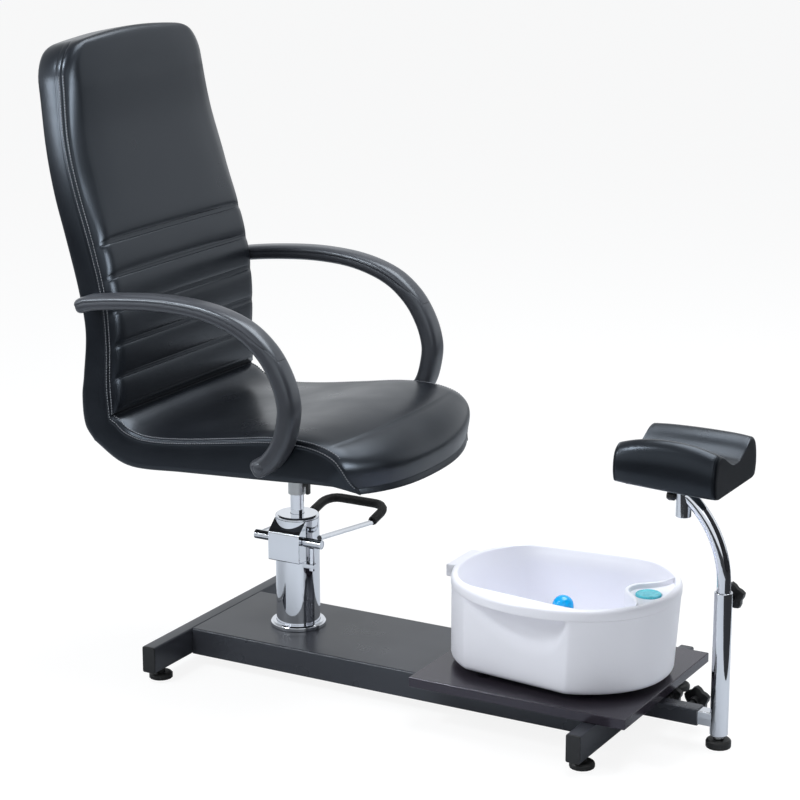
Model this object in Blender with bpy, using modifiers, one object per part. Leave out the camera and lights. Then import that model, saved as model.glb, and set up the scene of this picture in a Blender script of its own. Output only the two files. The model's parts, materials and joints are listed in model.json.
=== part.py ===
"""Pedicure chair with a foot pump, a foot bath and a sliding foot rest.

Metres, +Z up. The model is drawn with the pump's axis at x = 0 and y = 0, +X towards the foot rest.
The last step moves everything so that the origin is the centre of the bounding box on the floor.
"""

import math

import bmesh
import bpy
from mathutils import Matrix, Vector

# Clearances
GAP = 0.0003  # between faces that touch
SLIDE = 0.0005  # round a piece that slides or turns

# Base frame
FLOOR_CLEARANCE = 0.0201  # floor to the underside of the crossbars
BAR_HEIGHT = 0.050
BAR_WIDTH = 0.0267
BAR_LENGTH = 0.489
BAR_WALL = 0.002
BAR_CORNER = 0.003
PLUG_FLANGE = 0.003
PLUG_DEPTH = 0.016
BAR_SPACING = 0.8287  # rear crossbar's front face to front crossbar's rear face
PUMP_SETBACK = 0.159  # rear crossbar's front face to the pump's axis
PLATE_WIDTH = 0.2417
PLATE_SHEET = 0.003
PLATE_CORNER = 0.004
BOARD_LENGTH = 0.4125
BOARD_WIDTH = 0.3683
BOARD_THICKNESS = 0.018
BOARD_OVERHANG = 0.0534  # past the front crossbar
FOOT_RADIUS = 0.022
FOOT_INSET = 0.039  # from the end of a crossbar to the foot's axis
FOOT_DISC = 0.011
FOOT_NECK_RADIUS = 0.008
FOOT_STEM_RADIUS = 0.005
FOOT_STEM_LENGTH = 0.022

# Pump
PUMP_RADIUS = 0.041
PUMP_HEIGHT = 0.217  # plate to the top of the gland
PUMP_BORE = 0.0185
PUMP_FLOOR = 0.012
PUMP_CHAMFER = 0.003
GLAND_CAP = 0.006
GLAND_NECK = 0.020
FLANGE_RADIUS = 0.052
FLANGE_THICKNESS = 0.010
ROD_RADIUS = 0.0125
ROD_SHOWN = 0.038  # gland to the underside of the swivel socket
PISTON_HEIGHT = 0.020
COVER_HALF_WIDTH = 0.033
COVER_FRONT = 0.050  # pump axis to the cover's front face
COVER_BOTTOM = 0.082  # below the pump's top
COVER_SHOULDER = 0.026  # below the pump's top
PIVOT_SETOUT = 0.031  # pump axis to the lever's shaft
PIVOT_DROP = 0.043  # below the pump's top
SHAFT_RADIUS = 0.0065
HUB_RADIUS = 0.0088
HUB_LENGTH = 0.036
HUB_END = 0.071  # pump axis to the outer end of a hub
LEVER_HALF_WIDTH = 0.066
LEVER_REACH = 0.255  # shaft to the lever's bar
LEVER_KNEE = 0.190  # shaft to the knee where the legs turn up
LEVER_KNEE_DROP = 0.010  # knee below the shaft
LEVER_BAR_RISE = 0.006  # bar above the shaft
LEVER_LEG_RISE = 0.0126  # near leg's start above the shaft
LEVER_TUBE_RADIUS = 0.0052
LEVER_CORNER = 0.028
GRIP_RADIUS = 0.009
PLUNGER_RADIUS = 0.0055
PLUNGER_OUT = 0.050  # pump axis to the plunger
GUIDE_HEIGHT = 0.008
GUIDE_WIDTH = 0.017
PLUNGER_SHOWN = 0.030

# Swivel under the seat
SOCKET_RADIUS = 0.0165
SOCKET_FLANGE = 0.050
SOCKET_FLANGE_THICKNESS = 0.006
SEAT_PLATE_LENGTH = 0.190
SEAT_PLATE_WIDTH = 0.180
SEAT_PLATE_THICKNESS = 0.006  # at its thin rear edge
LOCK_LENGTH = 0.026
LOCK_HEIGHT = 0.020  # above the socket's lower end

# Seat and back, drawn from the crease where they meet
CREASE_X = -0.250
CREASE_Z = 0.490
BACK_RISE = 0.665
SEAT_DEPTH = 0.512
SEAT_HALF_WIDTH = 0.2345
BACK_TOP_HALF_WIDTH = 0.213
BACK_CORNER = 0.065
BACK_EDGE = 0.016
BACK_CROWN = 0.017
LUMBAR_CROWN = 0.010  # more crown in the channelled part
SEAT_CROWN = 0.017
TOP_CROWN = 0.010
FRONT_BULGE = 0.030
FRONT_CORNER = 0.014  # how far the front corners are drawn in
CHANNEL_PITCH = 0.0605
CHANNEL_COUNT = 5
CHANNEL_DEPTH = 0.75  # part of the crown that a seam takes away
CHANNEL_WIDTH = 0.0055
DRAW_IN = 0.003
UNDERSIDE_REAR = 0.085  # crease down to the underside, at its rear
UNDERSIDE_SLOPE = 0.0587
SHELL_THICKNESS = 0.012
SHELL_SHARE = 0.90  # part of the half width that the shell takes
PANEL_SHARE = 0.94
PANEL_THICKNESS = 0.006

# Arms
ARM_WIDTH = 0.045
ARM_THICKNESS = 0.028
ARM_LEG_THICKNESS = 0.034
ARM_PAD_SHARE = 0.66  # part of the arm's length that carries the soft pad
ARM_PAD_SPLIT = 0.10  # height of the joint under the pad, as a share of the thickness
BOLT_HEAD_RADIUS = 0.010
BOLT_HEAD_DEPTH = 0.008
BOLT_RADIUS = 0.004

# Foot rest
REST_Y = -0.012
RECEIVER_SIDE = 0.030
RECEIVER_WALL = 0.002
RECEIVER_LENGTH = 0.310
RECEIVER_OVERHANG = 0.118  # past the front crossbar
RECEIVER_DROP = 0.020  # plate's top to the tube's middle
SLIDE_SIDE = 0.025
SLIDE_WALL = 0.0018
SLIDE_LENGTH = 0.310
POST_OUT = 0.1536  # front crossbar's front face to the post's axis
POST_RADIUS = 0.0157
POST_WALL = 0.0028
POST_BOTTOM = 0.023
POST_TOP = 0.280
BUSH_RADIUS = 0.0092
BUSH_SHOWN = 0.0075
BUSH_DEPTH = 0.014
MAST_RADIUS = 0.0123
MAST_STRAIGHT = 0.293
MAST_BEND = 0.190
MAST_ANGLE = 53.5
MAST_BOTTOM = 0.070
SLEEVE_RADIUS = 0.0135
SLEEVE_WALL = 0.004
SLEEVE_BOTTOM = 0.4015
SLEEVE_TOP = 0.4649
SPINDLE_PLATE_RADIUS = 0.042
SPINDLE_PLATE = 0.003
SPINDLE_DEPTH = 0.050
STAR_RADIUS = 0.025
STAR_SMALL_RADIUS = 0.019
SLEEVE_KNOB_RADIUS = 0.0085
STUD_RADIUS = 0.004
STAR_THICKNESS = 0.015
STAR_WAVE = 0.13  # depth of the hollows between the lobes, as a share of the radius
KNOB_HUB = 0.014  # length of the hub behind the star
KNOB_COLLAR = 0.0015  # collar's step over the stud
POST_KNOB_DEPTH = 0.032  # from the post to the knob's outer face
RECEIVER_KNOB_DEPTH = 0.060
SLEEVE_KNOB_DEPTH = 0.016
POST_KNOB_Z = 0.261
FRONT_KNOB_BACK = 0.033  # receiver's front end to the front knob
KNOB_SPACING = 0.0455
SLEEVE_KNOB_Z = 0.435

# Padded rest
PAD_LENGTH = 0.184
PAD_WIDTH = 0.190
PAD_HEIGHT = 0.069
PAD_TROUGH = 0.027
PAD_EDGE = 0.007
PAD_BOARD_THICKNESS = 0.010
PAD_BOARD_INSET = 0.018

# Foot bath
BATH_X = 0.551
BATH_HALF_LENGTH = 0.205
BATH_HALF_WIDTH = 0.179
BATH_RIM_TOP = 0.256
BATH_RIM_HEIGHT = 0.019
BATH_POWER = 2.1
BATH_WALL = 0.003
BATH_FOOT_HEIGHT = 0.0085
BATH_FOOT_RADIUS = 0.012
BATH_FLAT = 0.141  # half width over the flat sides
BATH_SCOOP = 0.005
BATH_TAPER = 0.001  # rim to the bottom, along the length
BATH_BOTTOM_SHIFT = 0.006  # bottom outline's centre behind the rim's
BASIN_EDGE = 0.011  # rim's width
BASIN_FLAT = 0.144
SPOUT_WIDTH = 0.100  # the straight lip at the rear of the rim
SPOUT_OUT = 0.007
BASIN_FLOOR = 0.030  # above the housing's bottom
DECK_DROP = 0.0055
DIAL_X = BATH_X + 0.157
DIAL_RADIUS = 0.0225
DIAL_WELL = 0.006
DIAL_HEIGHT = 0.008
NODE_RADIUS = 0.019
NODE_X = BATH_X - 0.005
NODE_SEAT = 0.191
PEDESTAL_RADIUS = 0.026
MOTOR_RADIUS = 0.0095
MOTOR_LENGTH = 0.050

# Levels and places that follow from the sizes above
BAR_TOP = FLOOR_CLEARANCE + BAR_HEIGHT
BOARD_BOTTOM = BAR_TOP + GAP
BOARD_TOP = BOARD_BOTTOM + BOARD_THICKNESS
REAR_BAR_X = -PUMP_SETBACK - BAR_WIDTH / 2
FRONT_BAR_FACE = BAR_SPACING - PUMP_SETBACK + BAR_WIDTH
FRONT_BAR_X = FRONT_BAR_FACE - BAR_WIDTH / 2
BOARD_FRONT = FRONT_BAR_FACE + BOARD_OVERHANG
PUMP_BOTTOM = BAR_TOP + GAP
PUMP_TOP = BAR_TOP + PUMP_HEIGHT
CYLINDER_TOP = PUMP_TOP - GLAND_CAP
PIVOT_Z = PUMP_TOP - PIVOT_DROP
SOCKET_BOTTOM = PUMP_TOP + ROD_SHOWN
RECEIVER_Z = BAR_TOP - RECEIVER_DROP
RECEIVER_FRONT = FRONT_BAR_FACE + RECEIVER_OVERHANG
POST_X = FRONT_BAR_FACE + POST_OUT
SLEEVE_X = POST_X - MAST_BEND * (1 - math.cos(math.radians(MAST_ANGLE)))
PAD_BOTTOM = SLEEVE_TOP + SPINDLE_PLATE + 2 * GAP
ARM_Y = SEAT_HALF_WIDTH + GAP + ARM_WIDTH / 2
BATH_BOTTOM = BOARD_TOP + GAP + BATH_FOOT_HEIGHT
BATH_RIM_BOTTOM = BATH_RIM_TOP - BATH_RIM_HEIGHT
DECK_Z = BATH_RIM_TOP - DECK_DROP

FINISHES = {
    "chrome": ((0.80, 0.81, 0.83, 1), 1.0, 0.12),
    "black_metal": ((0.02, 0.02, 0.022, 1), 0.3, 0.42),
    "black_plastic": ((0.016, 0.016, 0.018, 1), 0.0, 0.45),
    "rubber": ((0.012, 0.012, 0.012, 1), 0.0, 0.8),
    "laminate": ((0.03, 0.018, 0.014, 1), 0.0, 0.3),
    "leather": ((0.03, 0.031, 0.035, 1), 0.0, 0.45),
    "plywood": ((0.05, 0.04, 0.033, 1), 0.0, 0.7),
    "white_plastic": ((0.86, 0.87, 0.88, 1), 0.0, 0.2),
    "teal_plastic": ((0.05, 0.45, 0.48, 1), 0.0, 0.2),
    "blue_plastic": ((0.02, 0.13, 0.5, 1), 0.0, 0.15),
}

for old in list(bpy.data.objects):
    bpy.data.objects.remove(old, do_unlink=True)

PARTS = bpy.data.collections.new("pedicure_chair")
CUTTERS = bpy.data.collections.new("cutters")
bpy.context.scene.collection.children.link(PARTS)
bpy.context.scene.collection.children.link(CUTTERS)
BODIES = {}


# Bodies are empties on the axes of the joints
def add_body(name, at=(0, 0, 0), parent=None):
    empty = bpy.data.objects.new(name, None)
    PARTS.objects.link(empty)
    empty.empty_display_size = 0.03
    if parent:
        empty.parent = BODIES[parent][0]
        empty.location = Vector(at) - BODIES[parent][1]
    BODIES[name] = (empty, Vector(at))


def hang(obj, body, at):
    obj.parent = BODIES[body][0]
    obj.location = Vector(at) - BODIES[body][1]


def material(name, finish):
    colour, metallic, roughness = FINISHES[finish]
    made = bpy.data.materials.new(name)
    made.use_nodes = True
    shader = made.node_tree.nodes["Principled BSDF"]
    shader.inputs["Base Color"].default_value = colour
    shader.inputs["Metallic"].default_value = metallic
    shader.inputs["Roughness"].default_value = roughness
    made.diffuse_color = colour
    return made


def add_part(name, mesh, body, at, finish):
    obj = bpy.data.objects.new(name, mesh)
    obj.data.materials.append(material(name, finish))
    PARTS.objects.link(obj)
    hang(obj, body, at)
    return obj


def add_cutter(name, mesh, body, at, turn=(0, 0, 0)):
    obj = bpy.data.objects.new(name, mesh)
    CUTTERS.objects.link(obj)
    obj.hide_render = True
    obj.display_type = "WIRE"
    obj.rotation_euler = turn
    hang(obj, body, at)
    return obj


def boolean(obj, other, operation="DIFFERENCE"):
    made = obj.modifiers.new(other.name, "BOOLEAN")
    made.operation = operation
    made.solver = "EXACT"
    made.object = other


def round_edges(obj, width, segments=2):
    bevel = obj.modifiers.new("Rounded edges", "BEVEL")
    bevel.width = width
    bevel.segments = segments
    bevel.limit_method = "ANGLE"
    bevel.angle_limit = math.radians(40)


# Meshes from primitives, outlines, turned profiles, bent tubes and lofts
def finish_mesh(name, bm):
    bmesh.ops.recalc_face_normals(bm, faces=bm.faces)
    mesh = bpy.data.meshes.new(name)
    bm.to_mesh(mesh)
    bm.free()
    return mesh


def box(name, length, width, height):
    bm = bmesh.new()
    bmesh.ops.create_cube(bm, size=1)
    bmesh.ops.scale(bm, vec=(length, width, height), verts=bm.verts)
    return finish_mesh(name, bm)


def rod(name, radius, length, segments=24):
    bm = bmesh.new()
    bmesh.ops.create_cone(
        bm, cap_ends=True, segments=segments, radius1=radius, radius2=radius, depth=length
    )
    return finish_mesh(name, bm)


def baked(obj):
    """The mesh that a helper curve makes, welded; the helper is removed."""
    bpy.context.scene.collection.objects.link(obj)
    graph = bpy.context.evaluated_depsgraph_get()
    mesh = bpy.data.meshes.new_from_object(obj.evaluated_get(graph))
    curve = obj.data
    bpy.data.objects.remove(obj, do_unlink=True)
    bpy.data.curves.remove(curve)
    bm = bmesh.new()
    bm.from_mesh(mesh)
    bpy.data.meshes.remove(mesh)
    bmesh.ops.remove_doubles(bm, verts=bm.verts, dist=0.00001)
    return bm


PLANES = {
    "XY": Matrix.Identity(4),
    "YZ": Matrix(((0, 0, 1, 0), (1, 0, 0, 0), (0, 1, 0, 0), (0, 0, 0, 1))),
    "XZ": Matrix(((1, 0, 0, 0), (0, 0, -1, 0), (0, 1, 0, 0), (0, 0, 0, 1))),
}


def extruded(name, loops, depth, plane):
    """A flat outline, with its holes, given a depth that is centred on its plane."""
    curve = bpy.data.curves.new(name, "CURVE")
    curve.dimensions = "2D"
    curve.fill_mode = "BOTH"
    curve.extrude = depth / 2
    for loop in loops:
        spline = curve.splines.new("POLY")
        spline.points.add(len(loop) - 1)
        for point, (x, y) in zip(spline.points, loop):
            point.co = (x, y, 0, 1)
        spline.use_cyclic_u = True
    bm = baked(bpy.data.objects.new(name, curve))
    bmesh.ops.transform(bm, matrix=PLANES[plane], verts=bm.verts)
    return finish_mesh(name, bm)


def bent_tube(name, points, radius, wall=0.0, resolution=3):
    """A round tube along a path: solid with closed ends, or hollow when it has a wall."""
    curve = bpy.data.curves.new(name, "CURVE")
    curve.dimensions = "3D"
    curve.bevel_depth = radius
    curve.bevel_resolution = resolution
    curve.use_fill_caps = wall == 0
    spline = curve.splines.new("POLY")
    spline.points.add(len(points) - 1)
    for point, place in zip(spline.points, points):
        point.co = (*place, 1)
    helper = bpy.data.objects.new(name, curve)
    if wall:
        solid = helper.modifiers.new("Wall", "SOLIDIFY")
        solid.thickness = wall
        solid.offset = -1
    return finish_mesh(name, baked(helper))


def turned(name, profile, body, at, finish, steps=32, ring=False):
    """A profile of (radius, height) run round Z, its outer side from top to bottom."""
    obj = add_part(name, profile_mesh(name, profile, ring), body, at, finish)
    add_screw(obj, steps)
    return obj


def turned_cutter(name, profile, body, at, turn=(0, 0, 0), steps=24, ring=False):
    obj = add_cutter(name, profile_mesh(name, profile, ring), body, at, turn)
    add_screw(obj, steps)
    return obj


def profile_mesh(name, profile, ring):
    edges = [(i, i + 1) for i in range(len(profile) - 1)]
    if ring:
        edges.append((len(profile) - 1, 0))
    mesh = bpy.data.meshes.new(name)
    mesh.from_pydata([(r, 0, z) for r, z in profile], edges, [])
    return mesh


def add_screw(obj, steps):
    screw = obj.modifiers.new("Turned", "SCREW")
    screw.axis = "Z"
    screw.steps = steps
    screw.render_steps = steps
    screw.use_merge_vertices = True
    screw.merge_threshold = 0.00001


def loft(name, rings):
    """Skins rings of equally many points and closes the first and the last one."""
    bm = bmesh.new()
    rows = [[bm.verts.new(point) for point in ring] for ring in rings]
    for low, high in zip(rows, rows[1:]):
        for i in range(len(low)):
            j = (i + 1) % len(low)
            bm.faces.new((low[i], low[j], high[j], high[i]))
    bm.faces.new(list(reversed(rows[0])))
    bm.faces.new(rows[-1])
    return finish_mesh(name, bm)


def rounded_rectangle(width, height, corner, steps=2):
    points = []
    middles = ((1, 1, 0), (-1, 1, 90), (-1, -1, 180), (1, -1, 270))
    for sx, sy, start in middles:
        for i in range(steps + 1):
            angle = math.radians(start + 90 * i / steps)
            x = sx * (width / 2 - corner) + corner * math.cos(angle)
            y = sy * (height / 2 - corner) + corner * math.sin(angle)
            points.append((x, y))
    return points


def arc(centre, radius, start, end, steps):
    """Points on a circle, from one angle to the other in degrees."""
    turns = [math.radians(start + (end - start) * i / steps) for i in range(steps + 1)]
    return [(centre[0] + radius * math.cos(t), centre[1] + radius * math.sin(t)) for t in turns]


class Line:
    """A smooth line through control points in a plane, read by the share of its length."""

    def __init__(self, points, steps=24):
        points = [Vector(p) for p in points]
        knots = [0.0]
        for a, b in zip(points, points[1:]):
            knots.append(knots[-1] + (b - a).length)
        slopes = []
        last = len(points) - 1
        for i in range(len(points)):
            before = max(i - 1, 0)
            after = min(i + 1, last)
            slopes.append((points[after] - points[before]) / (knots[after] - knots[before]))
        self.points = [points[0]]
        for i in range(last):
            span = knots[i + 1] - knots[i]
            for k in range(1, steps + 1):
                t = k / steps
                self.points.append(
                    points[i] * (2 * t**3 - 3 * t**2 + 1)
                    + slopes[i] * span * (t**3 - 2 * t**2 + t)
                    + points[i + 1] * (3 * t**2 - 2 * t**3)
                    + slopes[i + 1] * span * (t**3 - t**2)
                )
        self.lengths = [0.0]
        for a, b in zip(self.points, self.points[1:]):
            self.lengths.append(self.lengths[-1] + (b - a).length)
        self.length = self.lengths[-1]

    def at(self, share):
        target = min(max(share, 0.0), 1.0) * self.length
        for i in range(1, len(self.points)):
            if self.lengths[i] >= target or i == len(self.points) - 1:
                step = self.lengths[i] - self.lengths[i - 1]
                t = (target - self.lengths[i - 1]) / step
                return self.points[i - 1].lerp(self.points[i], t)

    def tangent(self, share):
        reach = 0.004
        return (self.at(share + reach) - self.at(share - reach)).normalized()

    def share_at_height(self, height):
        """The share where a line that runs downwards passes a height."""
        for i in range(1, len(self.points)):
            if self.points[i].y <= height:
                a, b = self.points[i - 1], self.points[i]
                t = (a.y - height) / (a.y - b.y)
                return (self.lengths[i - 1] + t * (b - a).length) / self.length
        return 1.0


def smoothstep(value):
    value = min(max(value, 0.0), 1.0)
    return value * value * (3 - 2 * value)


# Base frame
def add_crossbar(name, x):
    outer = rounded_rectangle(BAR_WIDTH, BAR_HEIGHT, BAR_CORNER)
    inner = rounded_rectangle(
        BAR_WIDTH - 2 * BAR_WALL, BAR_HEIGHT - 2 * BAR_WALL, BAR_CORNER - BAR_WALL
    )
    tube = BAR_LENGTH - 2 * PLUG_FLANGE - 2 * GAP
    z = FLOOR_CLEARANCE + BAR_HEIGHT / 2
    bar = add_part(name, extruded(name, [outer, inner], tube, "XZ"), "base", (x, 0, z), "black_metal")
    for side, sign in (("right", -1), ("left", 1)):
        y = sign * (BAR_LENGTH / 2 - FOOT_INSET)
        hole = rod(f"{name}_{side}_hole", FOOT_STEM_RADIUS + SLIDE, 4 * BAR_WALL, 16)
        boolean(bar, add_cutter(hole.name, hole, "base", (x, y, FLOOR_CLEARANCE)))
    return bar


def add_plug(name, x, sign):
    """An end plug: a flange over the tube's end and a body inside the tube."""
    flange = rounded_rectangle(BAR_WIDTH, BAR_HEIGHT, BAR_CORNER)
    face = rounded_rectangle(BAR_WIDTH - 0.0016, BAR_HEIGHT - 0.0016, BAR_CORNER - 0.0008)
    inside = 2 * (BAR_WALL + GAP)
    body = rounded_rectangle(BAR_WIDTH - inside, BAR_HEIGHT - inside, BAR_CORNER - BAR_WALL - GAP / 2)
    levels = (
        (face, 0),
        (flange, 0.0008),
        (flange, PLUG_FLANGE),
        (body, PLUG_FLANGE),
        (body, PLUG_FLANGE + PLUG_DEPTH),
    )
    rings = [[(px, -sign * depth, pz) for px, pz in ring] for ring, depth in levels]
    z = FLOOR_CLEARANCE + BAR_HEIGHT / 2
    add_part(name, loft(name, rings), "base", (x, sign * BAR_LENGTH / 2, z), "black_plastic")


def add_base():
    add_crossbar("rear_crossbar", REAR_BAR_X)
    front = add_crossbar("front_crossbar", FRONT_BAR_X)
    side = RECEIVER_SIDE + 2 * GAP
    slot = box("receiver_slot", 3 * BAR_WIDTH, side, side)
    boolean(front, add_cutter("receiver_slot", slot, "base", (FRONT_BAR_X, REST_Y, RECEIVER_Z)))
    for end, x in (("rear", REAR_BAR_X), ("front", FRONT_BAR_X)):
        add_plug(f"{end}_right_plug", x, -1)
        add_plug(f"{end}_left_plug", x, 1)

    half = PLATE_WIDTH / 2
    inner = half - PLATE_SHEET
    drop = BAR_HEIGHT
    section = [(-half, -drop)]
    section += arc((-half + PLATE_CORNER, -PLATE_CORNER), PLATE_CORNER, 180, 90, 3)
    section += arc((half - PLATE_CORNER, -PLATE_CORNER), PLATE_CORNER, 90, 0, 3)
    section += [(half, -drop), (inner, -drop), (inner, -PLATE_SHEET), (-inner, -PLATE_SHEET), (-inner, -drop)]
    length = BAR_SPACING - 2 * GAP
    middle = BAR_SPACING / 2 - PUMP_SETBACK
    plate = extruded("base_plate", [section], length, "YZ")
    add_part("base_plate", plate, "base", (middle, 0, BAR_TOP), "black_metal")

    board = box("bath_board", BOARD_LENGTH, BOARD_WIDTH, BOARD_THICKNESS)
    place = (BOARD_FRONT - BOARD_LENGTH / 2, 0, BOARD_BOTTOM + BOARD_THICKNESS / 2)
    round_edges(add_part("bath_board", board, "base", place, "laminate"), 0.0015)

    outer = rounded_rectangle(RECEIVER_SIDE, RECEIVER_SIDE, 0.003)
    bore = RECEIVER_SIDE - 2 * RECEIVER_WALL
    tube = extruded("receiver_tube", [outer, rounded_rectangle(bore, bore, 0.001)], RECEIVER_LENGTH, "YZ")
    place = (RECEIVER_FRONT - RECEIVER_LENGTH / 2, REST_Y, RECEIVER_Z)
    receiver = add_part("receiver_tube", tube, "base", place, "black_metal")
    for name, x in (("front", KNOB_FRONT_X), ("rear", KNOB_REAR_X)):
        hole = rod(f"receiver_{name}_hole", STUD_RADIUS + SLIDE, 4 * RECEIVER_WALL, 16)
        at = (x, REST_Y + RECEIVER_SIDE / 2, RECEIVER_Z)
        boolean(receiver, add_cutter(hole.name, hole, "base", at, (math.radians(90), 0, 0)))


def add_levelling_foot(name, body, at, disc, neck_top, stem_length):
    profile = [
        (0, neck_top + stem_length),
        (FOOT_STEM_RADIUS, neck_top + stem_length),
        (FOOT_STEM_RADIUS, neck_top),
        (FOOT_NECK_RADIUS, neck_top),
        (FOOT_NECK_RADIUS, disc),
        (FOOT_RADIUS - 0.003, disc),
        (FOOT_RADIUS, disc - 0.003),
        (FOOT_RADIUS, 0.001),
        (FOOT_RADIUS - 0.001, 0),
        (0, 0),
    ]
    turned(name, profile, body, at, "rubber", 16)


# Pump
def add_pump():
    outer = PUMP_RADIUS
    bore_floor = PUMP_BOTTOM + PUMP_FLOOR
    profile = [
        (0, bore_floor),
        (PUMP_BORE, bore_floor),
        (PUMP_BORE, CYLINDER_TOP),
        (outer, CYLINDER_TOP),
        (outer, PUMP_BOTTOM),
        (0, PUMP_BOTTOM),
    ]
    cylinder = turned("pump_cylinder", profile, "base", (0, 0, 0), "chrome", 40)
    pivot = (0, -PIVOT_SETOUT, PIVOT_Z)
    across = (0, math.radians(90), 0)
    bore = rod("cylinder_shaft_bore", SHAFT_RADIUS + GAP, 4 * PUMP_RADIUS)
    boolean(cylinder, add_cutter("cylinder_shaft_bore", bore, "base", pivot, across))

    bore_radius = ROD_RADIUS + SLIDE
    neck = PUMP_BORE - GAP
    low = CYLINDER_TOP + GAP
    profile = [
        (bore_radius, PUMP_TOP),
        (outer - PUMP_CHAMFER, PUMP_TOP),
        (outer, PUMP_TOP - PUMP_CHAMFER),
        (outer, low),
        (neck, low),
        (neck, low - GLAND_NECK),
        (bore_radius, low - GLAND_NECK),
    ]
    turned("pump_gland", profile, "base", (0, 0, 0), "chrome", 32, ring=True)

    top = PUMP_BOTTOM + FLANGE_THICKNESS
    inner = outer + GAP
    profile = [
        (inner, top),
        (FLANGE_RADIUS - 0.003, top),
        (FLANGE_RADIUS, top - 0.003),
        (FLANGE_RADIUS, PUMP_BOTTOM),
        (inner, PUMP_BOTTOM),
    ]
    turned("pump_flange", profile, "base", (0, 0, 0), "chrome", 36, ring=True)

    rear = -0.012
    side = [
        (rear, -COVER_BOTTOM),
        (-COVER_FRONT + 0.002, -COVER_BOTTOM),
        (-COVER_FRONT, -COVER_BOTTOM + 0.002),
        (-COVER_FRONT, -COVER_SHOULDER - 0.004),
        (-COVER_FRONT + 0.002, -COVER_SHOULDER),
        (-COVER_FRONT / 2 + 0.002, -0.004),
        (rear, -0.004),
    ]
    cover = extruded("pump_head_cover", [side], 2 * COVER_HALF_WIDTH, "YZ")
    cover = add_part("pump_head_cover", cover, "base", (0, 0, PUMP_TOP), "chrome")
    clear = rod("cover_cylinder_cut", outer + GAP, 2 * PUMP_HEIGHT, 48)
    boolean(cover, add_cutter("cover_cylinder_cut", clear, "base", (0, 0, PUMP_TOP)))
    bore = rod("cover_shaft_bore", SHAFT_RADIUS + GAP, 4 * PUMP_RADIUS)
    boolean(cover, add_cutter("cover_shaft_bore", bore, "base", pivot, across))

    guide_top = PIVOT_Z - HUB_RADIUS - GAP - PLUNGER_SHOWN
    length = PLUNGER_OUT + GUIDE_WIDTH / 2
    guide = box("plunger_guide", length, GUIDE_WIDTH, GUIDE_HEIGHT)
    place = (length / 2, -PIVOT_SETOUT, guide_top - GUIDE_HEIGHT / 2)
    guide = add_part("plunger_guide", guide, "base", place, "chrome")
    clear = rod("guide_cylinder_cut", outer + GAP, 4 * GUIDE_HEIGHT, 48)
    boolean(guide, add_cutter("guide_cylinder_cut", clear, "base", (0, 0, guide_top)))
    clear = box("guide_cover_cut", 2 * (COVER_HALF_WIDTH + GAP), 3 * PUMP_RADIUS, 4 * GUIDE_HEIGHT)
    boolean(guide, add_cutter("guide_cover_cut", clear, "base", (0, 0, guide_top)))
    bore = rod("guide_bore", PLUNGER_RADIUS + GAP, 4 * GUIDE_HEIGHT)
    place = (PLUNGER_OUT, -PIVOT_SETOUT, guide_top)
    boolean(guide, add_cutter("guide_bore", bore, "base", place))

    top = PIVOT_Z - HUB_RADIUS - GAP
    low = guide_top - GUIDE_HEIGHT - 0.006
    profile = [(0, top), (PLUNGER_RADIUS, top), (PLUNGER_RADIUS, low), (0, low)]
    profile = [(r, z - guide_top) for r, z in profile]
    turned("pump_plunger", profile, "plunger", place, "chrome", 20)

    top = SOCKET_BOTTOM + 0.055
    low = PUMP_BOTTOM + PUMP_FLOOR + 0.012
    profile = [
        (0, top),
        (ROD_RADIUS, top),
        (ROD_RADIUS, low + PISTON_HEIGHT),
        (PUMP_BORE - SLIDE, low + PISTON_HEIGHT),
        (PUMP_BORE - SLIDE, low),
        (0, low),
    ]
    turned("piston_rod", profile, "lift", (0, 0, 0), "chrome", 32)


# Pump lever: two legs from its hubs, turned up at the knees, and a bar across
def lever_end():
    """The turned-up end from the near knee round the bar to the far knee, from the shaft's middle."""
    half = LEVER_HALF_WIDTH
    rise = LEVER_BAR_RISE + LEVER_KNEE_DROP
    run = LEVER_REACH - LEVER_KNEE
    length = math.hypot(run, rise)
    corner = LEVER_CORNER
    flat = [(half, 0)]
    flat += arc((half - corner, length - corner), corner, 0, 90, 5)
    flat += arc((-half + corner, length - corner), corner, 90, 180, 5)
    flat.append((-half, 0))
    knee = Vector((0, LEVER_KNEE, -LEVER_KNEE_DROP))
    up = Vector((0, run / length, rise / length))
    return [knee + Vector((x, 0, 0)) + up * d for x, d in flat]


def add_lever():
    pivot = (0, -PIVOT_SETOUT, PIVOT_Z)
    across = (0, math.radians(90), 0)
    end = HUB_END
    profile = [(0, end), (SHAFT_RADIUS, end), (SHAFT_RADIUS, -end), (0, -end)]
    shaft = turned("lever_shaft", profile, "lever", pivot, "chrome", 24)
    shaft.rotation_euler = across

    near = Vector((LEVER_HALF_WIDTH, 0, LEVER_LEG_RISE))
    far = Vector((-LEVER_HALF_WIDTH, SHAFT_RADIUS + 3 * GAP, 0))
    tube = bent_tube("pump_lever", [near] + lever_end() + [far], LEVER_TUBE_RADIUS, 0, 2)
    lever = add_part("pump_lever", tube, "lever", pivot, "chrome")
    for side, low, high in (("near", end - HUB_LENGTH, end), ("far", -end, -end + HUB_LENGTH)):
        bore = SHAFT_RADIUS + GAP
        profile = [(bore, high), (HUB_RADIUS, high), (HUB_RADIUS, low), (bore, low)]
        hub = turned_cutter(f"lever_hub_{side}", profile, "lever", pivot, across, 20, ring=True)
        boolean(lever, hub, "UNION")

    wall = GRIP_RADIUS - LEVER_TUBE_RADIUS - GAP
    path = lever_end()
    path[0] = path[0].lerp(path[1], 0.12)
    path[-1] = path[-1].lerp(path[-2], 0.12)
    foam = bent_tube("lever_grip", path, GRIP_RADIUS, wall, 2)
    add_part("lever_grip", foam, "lever", pivot, "rubber")


# Side lines of the seat and the back, as (x, z)
def from_crease(points):
    return Line([(CREASE_X + x, CREASE_Z + z) for x, z in points])


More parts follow.
